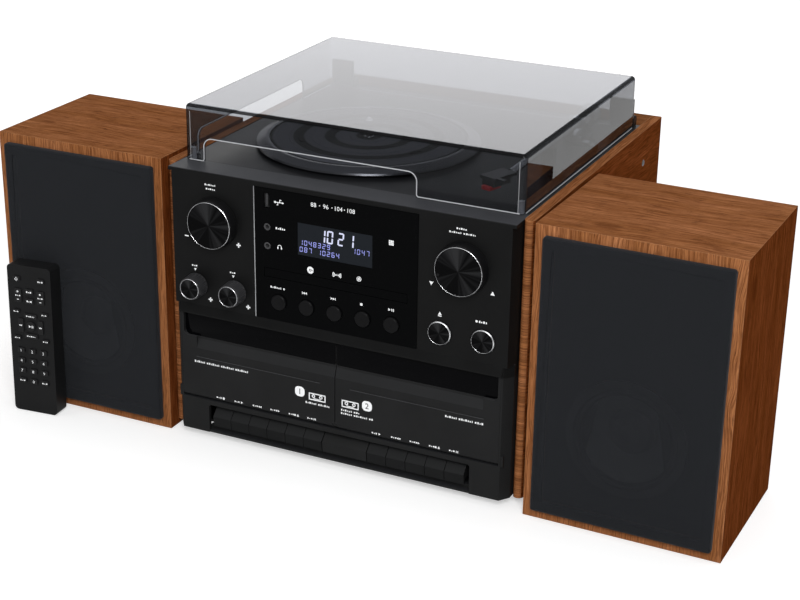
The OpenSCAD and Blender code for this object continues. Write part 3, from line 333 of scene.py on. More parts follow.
def spun(name, colour):
    """A turned disc facing the front: fine rings, an anisotropic sheen, and a painted sheen of
    light and dark wedges round its centre.
    """
    m = new_material(name)
    x, _, z = m.xyz(m.coords("Generated"))
    x, z = x - 0.5, z - 0.5
    rings = m.noise(m.vector(distance(x, z) * 160.0), 3, 0.8)
    angle = z.math("ARCTAN2", x)
    # painted sheen: light and dark wedges round the centre, in the colour
    painted_sheen_wedge = m.noise(m.vector(angle.math("SINE") * 1.5, angle.math("COSINE") * 1.5), 2, 0.6)
    base = m.mix(m.ramp(painted_sheen_wedge, (0.46, 0), (0.68, 1)), scaled(colour, 0.35), scaled(colour, 2.2))
    tangent = m.add("Tangent", direction_type="RADIAL", axis="Y").outputs[0]
    return m.surface(base, m.between(rings, 0.18, 0.32), None, m.bump(rings, 0.12, 0.05), 1.0,
                     {"Anisotropic": 0.75, "Tangent": tangent})


def ring_metal_painted_highlight(name):
    """Polished chamfer of a knob with a painted highlight: bright at its upper right, painted dark
    at its lower left, by the world direction of its faces.
    """
    m = new_material(name)
    x, y, z = m.xyz(m.add("NewGeometry").outputs["Normal"])
    # painted highlight: faces turned to the upper right are bright, those to the lower left painted
    # dark
    toward_painted_light = ((x * 0.66 + z * 0.75) * 0.5 + 0.5) & (y < -0.3)
    base = m.mix(m.ramp(toward_painted_light, (0.35, 0), (0.48, 1)), (0.05, 0.05, 0.052), (0.92, 0.93, 0.95))
    return m.surface(base, m.between(m.noise(3), 0.26, 0.36), None, metallic=1.0)


def print_ink(name, colour, glow=0.0):
    """Screen print: a slightly uneven, matt layer; glow adds a painted glow, so the ink shines as
    if lit.
    """
    m = new_material(name)
    base = m.mix(m.noise(1.5), scaled(colour, 0.86), colour)
    return m.surface(base, 0.5, 0.2, more={"Emission Color": colour, "Emission Strength": glow})


def lit_ink(name, colour):
    """Lit segments of the display, with a fine unevenness in their glow."""
    m = new_material(name)
    glow = m.mix(m.noise(2.5, 1), scaled(colour, 0.9), colour)
    return m.surface((0.01, 0.01, 0.015), 0.3, None,
                     more={"Emission Color": glow, "Emission Strength": 1.0})


def acrylic(name, tint):
    """Smoked clear lid: tinted pass-through and mirror gloss by the angle of view, a painted dark
    line along the rounded top edge of the front and right walls, a painted light line inside the
    front corners, a mirror dimmed as painted shade on the front and back walls and on rounded
    edges, milky bumpers in the front corners. The outer skin carries tint and gloss, the inner one
    is clear."""
    m = new_material(name)
    smear = m.noise(0.012, 4, 0.65)
    across, y, z = m.xyz()
    x = abs(across)
    side, ahead, up = [abs(part) for part in m.xyz(m.coords("Normal"))]
    outer = ((x > LID_W / 2 - LID_SKIN) | (z > LID_TOP - LID_SKIN)
             | (y < LID_Y + LID_SKIN) | (y > LID_Y + LID_D - LID_SKIN))
    shown = (y < LID_Y + 6.0) | (across > LID_W / 2 - 6.0)
    # painted shade: a dark line along the rounded top edge, on the front and right walls only
    painted_dark_bend = m.ramp(up, (0.3, 0), (0.45, 1), (0.88, 1), (0.95, 0)) & shown & (z > LID_TOP - 4.2)
    rounded = (side | ahead | up) < 0.985
    facing = m.number("LayerWeight", {"Blend": 0.5}, "Facing")
    through = m.mix(painted_dark_bend, m.mix(facing, tint, scaled(tint, 0.55)), (0.03, 0.031, 0.033))
    glass = m.shader("BsdfTransparent", {"Color": through})
    # painted shade on the reflection: the mirror is dimmer on the front and back walls and on
    # rounded edges
    gloss = m.mix(ahead, m.mix(side, (0.95, 0.95, 0.97), (1, 1, 1)), (0.3, 0.31, 0.33))
    mirror = m.shader("BsdfGlossy", {"Color": m.mix(rounded, gloss, (0.16, 0.165, 0.17)),
                                     "Roughness": m.between(smear, 0.012, 0.03)})
    share = (facing ** 5 * 0.9 + 0.03).math("MINIMUM", 0.9)
    haze = m.shader("BsdfDiffuse", {"Color": (0.55, 0.56, 0.58)})
    dusty = smear * 0.02 + m.ramp(m.noise(0.9, 1), (0.8, 0), (0.84, 1)) * 0.2
    hazed = m.blend(dusty, m.blend(share, glass, mirror), haze)
    # painted highlight: a light line inside each front corner of the front wall
    corner = (abs(x - (LID_W / 2 - 5.4)) < 0.28) & (y < LID_Y + 0.4) & (z < LID_TOP - 6)
    corner_glint = m.shader("BsdfPrincipled", {"Base Color": (0.62, 0.63, 0.65), "Roughness": 0.25,
                                           "Specular IOR Level": 0.5})
    clear = m.shader("BsdfTransparent", {"Color": (1, 1, 1)})
    walls = m.blend(outer, clear, m.blend(corner * 0.45, hazed, corner_glint))
    dx, dy = x - BUMPER[0], y - BUMPER[1]
    near = (dx * dx + dy * dy < 9.6) & (z < LID_Z + 10.5)
    milky = m.blend(0.6, m.shader("BsdfTransparent", {"Color": (0.9, 0.9, 0.92)}),
                    m.shader("BsdfDiffuse", {"Color": (0.75, 0.76, 0.78)}))
    return m.finish(m.blend(near, walls, milky))


def cloth(name):
    """Black speaker cloth: plain weave, faint lint, a little see-through."""
    m = new_material(name)
    x, _, z = m.xyz()
    pitch = 4.6
    weave = (x * pitch).math("SINE") * (z * pitch).math("SINE")
    slub = m.noise((0.9, 0.9, 0.05), 3, 0.7)
    lint = m.noise((1.1, 1.1, 0.45), 2, 0.6, 1.5)
    base = m.mix(weave * 0.5 + 0.5, (0.0044, 0.0048, 0.0056), (0.0125, 0.014, 0.0168))
    base = m.mix(slub * 0.35, base, (0.026, 0.028, 0.033))
    base = m.mix(m.noise(0.012, 3) * 0.3, base, (0.010, 0.011, 0.013))
    base = m.mix(m.ramp(lint, (0.7, 0), (0.8, 0.35)), base, (0.10, 0.10, 0.11))
    fabric = m.shader("BsdfPrincipled", {
        "Base Color": base, "Roughness": 0.9, "Specular IOR Level": 0.15, "Sheen Weight": 0.18,
        "Sheen Roughness": 0.5, "Sheen Tint": (0.5, 0.52, 0.56), "Normal": m.bump(weave, 0.35)})
    holes = m.shader("BsdfTransparent", {"Color": (1, 1, 1)})
    return m.finish(m.blend(0.12, fabric, holes))


def record_mat(name):
    """Rubber mat: moulded rings round the spindle."""
    m = new_material(name)
    x, y, _ = m.xyz()
    radius = distance(x - PLATTER[0], y - PLATTER[1])
    rings = m.ramp((radius * (2 * math.pi / RING_PITCH)).math("SINE"), (0.35, 0), (0.55, 1))
    cloud = m.noise(0.03, 4, 0.6)
    base = m.mix(cloud, (0.058, 0.060, 0.070), (0.092, 0.095, 0.108))
    return m.surface(m.mix(rings, base, (0.002, 0.002, 0.0025)), m.between(cloud, 0.5, 0.62), 0.06,
                     m.bump(m.noise(1.4, 2, 0.7), 0.15, edge=0.4))


def transformer_iron(name):
    """Grey iron core with the copper-brown winding above it."""
    m = new_material(name)
    fine = m.noise(1 / 0.6, 3, 0.7)
    base = m.mix(m.xyz()[2] > 63.5, (0.09, 0.09, 0.1), (0.32, 0.13, 0.045))
    return m.surface(m.mix(fine * 0.3, base, (0.02, 0.02, 0.02)), m.between(fine, 0.42, 0.58), 0.3,
                     m.bump(fine, 0.15, edge=0.3), 0.3)


def cone_paper(name):
    """Woofer: grey pressed paper, rubber surround and flange, by the distance from its axis."""
    m = new_material(name)
    x, _, z = m.xyz()
    axis = m.between(x > 0.0, SPEAKER_LEFT[0] + SPEAKER_W / 2, SPEAKER_RIGHT[0] + SPEAKER_W / 2)
    radius = distance(x - axis, z - WOOFER_Z)
    fibre = m.noise(0.8, 4, 0.7, 1.0)
    base = m.mix(fibre, (0.10, 0.105, 0.115), (0.26, 0.27, 0.29))
    base = m.mix(radius < 19.5, base, (0.11, 0.115, 0.125))
    base = m.mix(radius > 38.0, base, (0.02, 0.02, 0.022))
    return m.surface(base, 0.55, 0.35, m.bump(fibre, 0.3, 0.3))


def circuit(name):
    """Green board, with tracks; metal parts above and on it."""
    m = new_material(name)
    coords = m.place()
    tracks = m.add("TexBrick", {
        "Vector": coords, "Scale": 0.12, "Mortar Size": 0.03, "Color1": (0.012, 0.09, 0.035),
        "Color2": (0.016, 0.11, 0.045), "Mortar": (0.03, 0.16, 0.07)}).outputs["Color"]
    _, y, z = m.xyz(coords)
    upper = (z > 22.7) & (y > -100.0)
    fine = m.noise(0.7, 3)
    return m.surface(m.mix(upper, tracks, (0.28, 0.29, 0.3)), m.between(fine, 0.3, 0.5), None,
                     m.bump(fine, 0.15), upper)


def rear_parts(name):
    """Rear sockets: black blocks, nickel shells where they stand proud at the back."""
    m = new_material(name)
    x, y, z = m.xyz()
    shell = (x > -26.0) & (x < 40.0) & (y > 163.6) & (z > 50.0)
    fine = m.noise(1.2)
    return m.surface(m.mix(shell, (0.018, 0.018, 0.019), (0.62, 0.61, 0.58)),
                     m.between(fine, 0.25, 0.45), None, m.bump(fine, 0.1, edge=0.3), shell)


mats = {
    "wood_box": wood("oak_veneer_speaker", "box", 1.13),
    "wood_side": wood("oak_veneer_side", "side", 1.15, seed=40.0),
    "wood_rail": wood("oak_veneer_rail", "rail", 0.8, seed=80.0),
    "moulding": plastic("black_moulding", (0.0049, 0.0050, 0.0051), 0.46, 0.1,
                        dust=(0.036, 0.037, 0.041), low=(LEDGE_Z, 2.3), dust_and_sheen_from=0.8),
    "deck": plastic("black_deck", (0.007, 0.0072, 0.0077), 0.36, 0.06,
                    dust=(0.010, 0.0103, 0.0115)),
    "door": plastic("black_door", (0.0122, 0.0124, 0.0128), 0.44, 0.1, dust=(0.036, 0.037, 0.039)),
    "key": plastic("black_key", (0.0092, 0.0095, 0.0098), 0.42, 0.06, edge=0.6,
                   dust=(0.018, 0.0185, 0.019)),
    "knob": plastic("black_knob", (0.0052, 0.0052, 0.0056), 0.38, 0.12, edge=0.5),
    "fluted": plastic("grey_knob", (0.03, 0.03, 0.032), 0.35, 0.3, edge=0.3),
    "button": plastic("black_button", (0.0038, 0.0038, 0.0042), 0.3, 0.1, edge=0.6),
    # painted highlight: light grey for the line along the lower edge of the door's groove
    "edge": plastic("groove_painted_highlight", (0.05, 0.051, 0.054), 0.4, 0.2),
    "socket": plastic("socket_shell", (0.05, 0.05, 0.052), 0.35, 0.25, edge=0.3),
    "gloss": gloss_black("gloss_black", (0.0016, 0.0017, 0.0019), 0.06, 0.03),
    "window": gloss_black("gloss_window", (0.0014, 0.0014, 0.0018), 0.04, 0.045),
    "glass": gloss_black("display_glass", (0.0125, 0.0148, 0.0185), 0.1, 0.05),
    "rubber": plastic("black_rubber", (0.02, 0.02, 0.021), 0.75, 0.2, grain=0.8, relief=0.2),
    "mat_rubber": record_mat("mat_rubber"),
    "back": plastic("back_board", (0.022, 0.022, 0.023), 0.6, 0.2, grain=0.9, relief=0.25),
    "steel": plastic("painted_steel", (0.012, 0.012, 0.0125), 0.5, 0.2, grain=0.8),
    "strip": metal("dull_trim", (0.55, 0.56, 0.58), 0.3, "z", vary=0.08),
    "screw": metal("dark_screw", (0.12, 0.11, 0.10), 0.35),
    "arm": metal("arm_metal", (0.36, 0.37, 0.39), 0.24, "y"),
    "platter": metal("platter_metal", (0.06, 0.062, 0.07), 0.26, vary=0.2, metallic=0.9),
    "spindle": metal("spindle_steel", (0.78, 0.79, 0.8), 0.14, "z"),
    "brass": metal("pulley_brass", (0.72, 0.50, 0.21), 0.25, "z"),
    "iron": transformer_iron("transformer_iron"),
    "can": metal("motor_can", (0.55, 0.56, 0.57), 0.33, "z"),
    "chassis": plastic("chassis_plastic", (0.05, 0.05, 0.052), 0.5, 0.3),
    "chassis_steel": metal("blackened_steel", (0.045, 0.045, 0.047), 0.42, "x"),
    "board": circuit("board_green"),
    "rear": rear_parts("rear_black"),
    "lid": acrylic("smoked_acrylic", (0.42, 0.43, 0.455)),
    # lid rims: a painted highlight with a faint painted glow along the cut edges
    "rim": print_ink("lid_rim_painted_glint", (0.50, 0.51, 0.53), 0.08),
    "hinge": plastic("hinge_black", (0.006, 0.006, 0.0065), 0.3, 0.3),
    "cartridge": plastic("cartridge_plastic", (0.012, 0.012, 0.013), 0.3, 0.3),
    "stylus": plastic("stylus_red", (0.5, 0.014, 0.018), 0.3, 0.3),
    "remote": plastic("remote_black", (0.0085, 0.0086, 0.009), 0.36, 0.12),
    "remote_key": plastic("remote_rubber", (0.014, 0.014, 0.0145), 0.5, 0.12, edge=0.6),
    "cap": spun("spun_cap", (0.017, 0.0172, 0.018)),
    "ring": ring_metal_painted_highlight("ring_painted_highlight"),
    # white print with a painted glow
    "ink": print_ink("white_print", (0.80, 0.81, 0.82), 0.22),
    "badge_ink": print_ink("dark_print", (0.02, 0.02, 0.022)),
    "digit": lit_ink("lit_digit", (0.74, 0.77, 1.0)),
    "row": lit_ink("lit_row", (0.34, 0.37, 0.92)),
    "cloth": cloth("grille_cloth"),
    "baffle": plastic("black_baffle", (0.006, 0.006, 0.006), 0.8, 0.05),
    "cone": cone_paper("woofer_paper"),
}

# the nodes of each material; the keys and the round buttons come by their names
NODES_OF = {
    "wood_side": "side_panels", "wood_rail": "rear_rail",
    "wood_box": "speaker_box_left speaker_box_right",
    "moulding": "front_panel", "gloss": "display_panel cd_drawer", "glass": "lcd_module",
    "socket": "front_sockets", "deck": "deck_plate", "lid": "dust_cover", "hinge": "lid_hinge_arms",
    "door": "cassette_door_left cassette_door_right", "fluted": "bass_knob treble_knob",
    "knob": "volume_knob scroll_knob eject_button record_button speed_switch",
    "platter": "platter", "mat_rubber": "platter_mat", "spindle": "platter_spindle",
    "arm": "tonearm_gimbal tonearm cue_lever", "cartridge": "cartridge", "brass": "motor_pulley",
    "can": "turntable_motor", "rubber": "drive_belt feet", "chassis": "cd_mechanism",
    "chassis_steel": "cassette_mechanisms", "board": "circuit_boards", "iron": "transformer",
    "rear": "rear_sockets", "back": "back_cover", "steel": "base_plate", "cone": "woofers",
    "cloth": "speaker_grilles", "remote": "remote_case remote_battery_cover",
    "remote_key": "remote_keys",
}
key_of = {node: key for key, names in NODES_OF.items() for node in names.split()}
for node_name, obj in nodes.items():
    by_name = "key" if node_name.startswith("key") else "button"
    obj.data.materials.clear()
    obj.data.materials.append(mats[key_of.get(node_name, by_name)])


# ---------- mesh helpers, all in millimetres ----------

def front(u, v, w):
    """A point of the front: u to the right, v up, w is y."""
    return (u, w, v)


def finish_piece(name, bm, mat, body="cabinet", slot=None, angle=38.0, place_by=None):
    """Makes the piece: metres, smooth faces with sharp edges above an angle, and its body; slot is
    not used.
    """
    bmesh.ops.remove_doubles(bm, verts=bm.verts, dist=1e-5)
    bmesh.ops.recalc_face_normals(bm, faces=bm.faces)
    mesh = bpy.data.meshes.new(name)
    bm.to_mesh(mesh)
    bm.free()
    if place_by is not None:
        mesh.transform(place_by)
    mesh.transform(Matrix.Scale(MM, 4))
    mesh.materials.append(mats[mat])
    for p in mesh.polygons:
        p.use_smooth = True
    mesh.set_sharp_from_angle(angle=math.radians(angle))
    obj = bpy.data.objects.new(name, mesh)
    bpy.context.scene.collection.objects.link(obj)
    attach(obj, body)
    return obj


def bridge(bm, a, b):
    """Quads from each edge of a closed loop to the same places in the next loop."""
    n = len(a)
    for i in range(n):
        bm.faces.new([a[i], a[(i + 1) % n], b[(i + 1) % n], b[i]])


def lathe(bm, profile, origin, steps=96, closed=False):
    """Turns (radius, height) points round an axis. Height runs to the front."""
    rings = []
    for i in range(steps):
        a = 2 * math.pi * i / steps
        ring = []
        for r, h in profile:
            offset = (r * math.cos(a), -h, r * math.sin(a))
            ring.append(bm.verts.new([o + d for o, d in zip(origin, offset)]))
        rings.append(ring)
    count = len(profile)
    for i in range(steps):
        a, b = rings[i], rings[(i + 1) % steps]
        for j in range(count if closed else count - 1):
            k = (j + 1) % count
            if profile[j][0] < 1e-9:
                corners = [a[j], a[k], b[k]]
            elif profile[k][0] < 1e-9:
                corners = [a[j], a[k], b[j]]
            else:
                corners = [a[j], a[k], b[k], b[j]]
            bm.faces.new(corners)
    bmesh.ops.remove_doubles(bm, verts=bm.verts, dist=1e-5)
    return bm


def prism(bm, points, w0, w1, to=front, bevel=0.0, segments=2):
    """Extrudes a closed outline from w0 to w1; bevels the rim of the w0 end."""
    low = [bm.verts.new(to(u, v, w0)) for u, v in points]
    high = [bm.verts.new(to(u, v, w1)) for u, v in points]
    cap = bm.faces.new(low)
    bm.faces.new(list(reversed(high)))
    bridge(bm, low, high)
    if bevel:
        bmesh.ops.bevel(bm, geom=list(cap.edges), offset=bevel, segments=segments, profile=0.5,
                        affect="EDGES")
    return bm


def arc(cx, cz, r, a0, a1, n):
    turns = [math.radians(a0 + (a1 - a0) * i / n) for i in range(n + 1)]
    return [(cx + r * math.cos(a), cz + r * math.sin(a)) for a in turns]


def round_rect(x0, z0, x1, z1, r, n=6):
    """A rectangle with rounded corners; r is one radius, or four from the lower right on."""
    radii = r if isinstance(r, (list, tuple)) else [r] * 4
    points = []
    for (cx, cz, a), rad in zip([(x1, z0, -90), (x1, z1, 0), (x0, z1, 90), (x0, z0, 180)], radii):
        sx = -1 if cx == x1 else 1
        sz = 1 if cz == z0 else -1
        points += arc(cx + sx * rad, cz + sz * rad, rad, a, a + 90, n)
    return points


def ring_polys(cx, cz, r0, r1, n=28):
    """A flat ring as quads."""
    polys = []
    for i in range(n):
        a, b = [2 * math.pi * k / n for k in (i, i + 1)]
        polys.append([(cx + r * math.cos(t), cz + r * math.sin(t))
                      for r, t in ((r0, a), (r1, a), (r1, b), (r0, b))])
    return polys


def middle(poly):
    """Height of the middle of a quad."""
    return sum(v for _, v in poly) / 4


def bar(cx, cz, w, h):
    return [(cx + a * w / 2, cz + b * h / 2) for a, b in ((-1, -1), (1, -1), (1, 1), (-1, 1))]


def triangle(cx, cz, s, direction):
    turn = {"right": 0, "up": 90, "left": 180, "down": 270}[direction]
    return [(cx + s * math.cos(math.radians(turn + a)), cz + s * math.sin(math.radians(turn + a)))
            for a in (0, 120, 240)]


def plus(cx, cz, s, t):
    return [bar(cx, cz, s, t), bar(cx, cz, t, s)]


def disc(cx, cz, r, n=24):
    return [arc(cx, cz, r, 0, 360 - 360 / n, n - 1)]


STROKES = ((1.3, 1.0), (0.8, 0.7), (1.5, 1.0), (0.9, 0.85), (1.2, 0.7), (0.7, 1.0), (1.4, 0.85))


def dashes(x0, x1, z, h=1.5):
    """A row of short strokes of mixed size, in place of a line of words."""
    polys, x, i = [], x0, 0
    while x < x1 - 0.5:
        w, tall = STROKES[i % 7]
        w = min(w, x1 - x)
        polys.append(bar(x + w / 2, z - h * (1 - tall) / 2, w, h * tall))
        x, i = x + w + (2.0 if i % 7 == 5 else 0.8), i + 1
    return polys


def numerals(text, cx, cz, size):
    """Plain numerals from the built-in face, as outlines in a mesh: (points, faces)."""
    curve = bpy.data.curves.new("numerals", "FONT")
    curve.body = text
    curve.size = size
    curve.resolution_u = 3
    curve.align_x = "CENTER"
    carrier = bpy.data.objects.new("numerals", curve)
    bpy.context.scene.collection.objects.link(carrier)
    bpy.context.view_layer.update()
    mesh = bpy.data.meshes.new_from_object(carrier)
    points = [(v.co.x + cx, v.co.y + cz - size * 0.35) for v in mesh.vertices]
    faces = [tuple(p.vertices) for p in mesh.polygons]
    bpy.data.objects.remove(carrier)
    bpy.data.curves.remove(curve)
    bpy.data.meshes.remove(mesh)
    return points, faces


SEGMENTS = {"0": "abcdef", "1": "bc", "2": "abged", "3": "abgcd", "4": "fgbc", "5": "afgcd",
            "6": "afgcde", "7": "abc", "8": "abcdefg", "9": "abcdfg", " ": ""}
LEAN = 0.06            # slant of the display's numerals


def seven(text, x, z, w, h, t, step):
    """Seven-segment numerals: outlines from the left edge x and the foot z."""
    across, tall = w - 1.4 * t, h / 2 - 0.9 * t
    places = {"a": (w / 2, h - t / 2, across, t), "g": (w / 2, h / 2, across, t),
              "d": (w / 2, t / 2, across, t), "b": (w - t / 2, h * 0.75, t, tall),
              "c": (w - t / 2, h * 0.25, t, tall), "f": (t / 2, h * 0.75, t, tall),
              "e": (t / 2, h * 0.25, t, tall)}
    polys = []
    for i, char in enumerate(text):
        for segment in SEGMENTS[char]:
            cx, cz, sw, sh = places[segment]
            outline = bar(x + i * step + cx, z + cz, sw, sh)
            polys.append([(px + LEAN * (pz - z), pz) for px, pz in outline])
    return polys


def print_piece(name, polys, y, mat="ink", body="cabinet", slot="black_moulding", thick=0.05,
                texts=(), to=front):
    """A layer of print: outlines and numerals, just proud of the surface at y."""
    bm = bmesh.new()
    for poly in polys:
        prism(bm, poly, y - thick, y + 0.02, to)
    for points, faces in texts:
        low = [bm.verts.new(to(u, v, y - thick)) for u, v in points]
        for face in faces:
            bm.faces.new([low[i] for i in face])
    finish_piece(name, bm, mat, body, slot, 20.0)


# ---------- knobs and buttons: rings with a painted highlight, turned caps with a painted sheen ---

def ring_and_cap(name, x, z, r_out, r_in, y_ring, y_cap, dish=0.22):
    """A chamfered ring and a dished cap on the front of a knob or button of the same name."""
    profile = [(r_in, y_ring - 0.8), (r_in, y_ring + 0.1), (r_in + 0.1, y_ring + 0.2),
               (r_out, y_ring - 0.55), (r_out, y_ring - 0.8)]
    ring = lathe(bmesh.new(), profile, (x, 0, z), closed=True)
    finish_piece(name + "_ring", ring, "ring", name, "spun_cap", 25.0)
    r_cap, back = r_in + 0.02, y_cap - 0.45
    profile = [(0, y_cap + dish), (r_cap, y_cap), (r_cap, back), (0, back + dish)]
    finish_piece(name + "_cap", lathe(bmesh.new(), profile, (x, 0, z)), "cap", name, "spun_cap")


ring_and_cap("volume_knob", -KNOB_X, KNOB_Z, 21.45, 20.55, 188.0, 187.75)
ring_and_cap("scroll_knob", KNOB_X, KNOB_Z, 21.45, 20.55, 188.0, 187.75)
ring_and_cap("bass_knob", -TONE_X[0], SMALL_Z, 9.75, 9.0, 191.0, 190.75)
ring_and_cap("treble_knob", -TONE_X[1], SMALL_Z, 9.75, 9.0, 191.0, 190.75)
ring_and_cap("eject_button", TONE_X[1], SMALL_Z, 10.35, 9.6, 179.55, 179.5, 0.0)
ring_and_cap("record_button", TONE_X[0], SMALL_Z, 10.35, 9.6, 179.55, 179.5, 0.0)

# pointer notch of the right knob
notch = arc(KNOB_X, KNOB_Z, 18.6, 197, 197, 1)[0]
bm = prism(bmesh.new(), arc(*notch, 1.3, 0, 330, 11), -187.95, -187.6, bevel=0.2)
finish_piece("scroll_knob_notch", bm, "knob", "scroll_knob", "knob_black")

# ---------- gloss panel: trims, display, prints -----------

PANEL_MID = PANEL_Z + PANEL_H / 2
bm = prism(bmesh.new(), bar(-PANEL_W / 2 - 0.35, PANEL_MID, 0.8, PANEL_H), FACE_Y - 0.62, FACE_Y,
           bevel=0.12)
finish_piece("panel_strip_left", bm, "strip", slot="gloss_black")
bm = prism(bmesh.new(), bar(PANEL_W / 2 + 0.2, PANEL_MID, 0.4, PANEL_H), FACE_Y - 0.4, FACE_Y,
           bevel=0.1)
finish_piece("panel_strip_right", bm, "gloss", slot="gloss_black")

clock = (210.2, 5.8, 11.6, 1.35)
print_piece("display_digits", seven("10", -14.8, *clock, 7.2) + seven("21", 2.5, *clock, 9.2),
            GLASS_Y, "digit", slot="display_glass", thick=0.03)
rows = (seven("1048329", -33.2, 204.9, 2.9, 4.5, 0.6, 4.3)
        + seven("087 10264", -33.2, 198.8, 2.9, 4.5, 0.6, 4.3)
        + seven("1047", 16.4, 205.6, 2.7, 4.6, 0.5, 4.3))
print_piece("display_rows", rows, GLASS_Y, "row", slot="display_glass", thick=0.03)

# fork mark, a row of dashes and two ear shells beside the sockets
marks = [bar(-52.3, 239.1, 6.6, 0.7), triangle(-48.4, 239.1, 1.2, "right"),
         bar(-51.4, 240.4, 0.6, 2.2), bar(-53.2, 237.9, 0.6, 2.0), bar(-50.7, 241.4, 1.9, 0.6),
         bar(-53.6, 236.9, 1.6, 0.6)] + disc(-55.8, 239.1, 1.0, 16)
marks += dashes(-55.6, -46.4, 216.0, 1.9)
marks += [p for p in ring_polys(-52.0, 199.4, 1.45, 2.05, 20) if middle(p) > 199.2]
marks += [bar(-53.7, 198.5, 1.1, 1.7), bar(-50.3, 198.5, 1.1, 1.7)]
# grid mark beside the display
marks += [bar(52.2 + 1.5 * a, 221.4 + 1.5 * b, 1.3, 1.3) for a in (-1, 0, 1) for b in (-1, 0, 1)]
# disc, waves and dot under the display
marks += ring_polys(-22.8, 183.9, 1.2, 3.1, 28) + disc(-22.8, 183.9, 0.6, 12)
for r in (1.4, 2.6, 3.8):
    marks += [p for p in ring_polys(2.3, 184.0, r - 0.38, r + 0.38, 32)
              if abs(middle(p) - 184.0) < 0.62 * r]
marks += disc(2.3, 184.0, 0.6, 12)
marks += ring_polys(22.9, 184.3, 1.5, 2.2, 24) + disc(22.9, 184.3, 0.9, 14)
# over the five buttons
z = 161.9
marks += dashes(-61.5, -47.2, z, 1.7)
marks += [triangle(-28.9, z, 1.3, "left"), triangle(-26.9, z, 1.3, "left"), bar(-30.6, z, 0.6, 2.2)]
marks += [triangle(-0.9, z, 1.3, "right"), triangle(-2.9, z, 1.3, "right"), bar(0.8, z, 0.6, 2.2)]
marks += [bar(25.2, z, 2.2, 2.2), triangle(50.9, z + 0.3, 1.4, "right"),
          bar(53.4, z + 0.3, 0.8, 2.3), bar(54.9, z + 0.3, 0.8, 2.3)]
DIAL_Z, DIAL_STEP = 242.6, 11.5
dial = [numerals(n, -19.5 + DIAL_STEP * k, DIAL_Z, 5.4)
        for k, n in enumerate(("88", "96", "104", "108"))]
marks += [bar(-13.75 + DIAL_STEP * k, DIAL_Z, 0.8, 0.8) for k in range(3)]
print_piece("panel_prints", marks, GLOSS_Y, slot="gloss_black", texts=dial)

# ---------- prints on the moulding ----------

marks = [bar(-144.2, 193.9, 3.6, 1.15)] + plus(-92.4, 193.9, 4.2, 1.3)
marks += plus(-121.9, 138.2, 4.0, 1.25) + plus(-84.2, 138.2, 4.0, 1.25)
marks += [triangle(88.4, 193.0, 2.2, "down"), triangle(142.4, 193.0, 2.2, "up")]
marks += [triangle(96.7, 167.1, 1.9, "up"), bar(96.7, 165.2, 3.2, 0.8)]
marks += disc(129.3, 166.9, 1.05, 18) + dashes(131.4, 139.4, 166.9, 1.9)
for x in (-136.6, -98.4):
    marks += [triangle(x, 164.3, 1.5, "down")] + dashes(x - 3.2, x + 3.2, 167.5, 1.4)
for x0, x1, z in ((-124.6, -112.2, 243.8), (-123.4, -113.4, 240.1),
                  (109.4, 119.6, 243.8), (103.2, 126.0, 240.1)):
    marks += dashes(x0, x1, z)
print_piece("moulding_prints", marks, FACE_Y)

# ---------- cassette doors ----------

def key_mark(kind, x, z):
    """The sign over a piano key, from x on."""
    if kind == "record":
        return disc(x + 2.6, z, 1.15, 16)
    if kind == "play":
        return [triangle(x + 2.6, z, 1.3, "right")]
    if kind == "rewind":
        return [triangle(x + d, z, 1.15, "left") for d in (1.9, 3.7)]
    if kind == "forward":
        return [triangle(x + d, z, 1.15, "right") for d in (1.7, 3.5)]
    if kind == "stop":
        return [bar(x + 1.6, z, 1.7, 1.7), triangle(x + 4.4, z + 0.2, 1.15, "up"),
                bar(x + 4.4, z - 0.8, 1.9, 0.5)]
    return [bar(x + d, z, 0.7, 1.9) for d in (2.0, 3.4)]


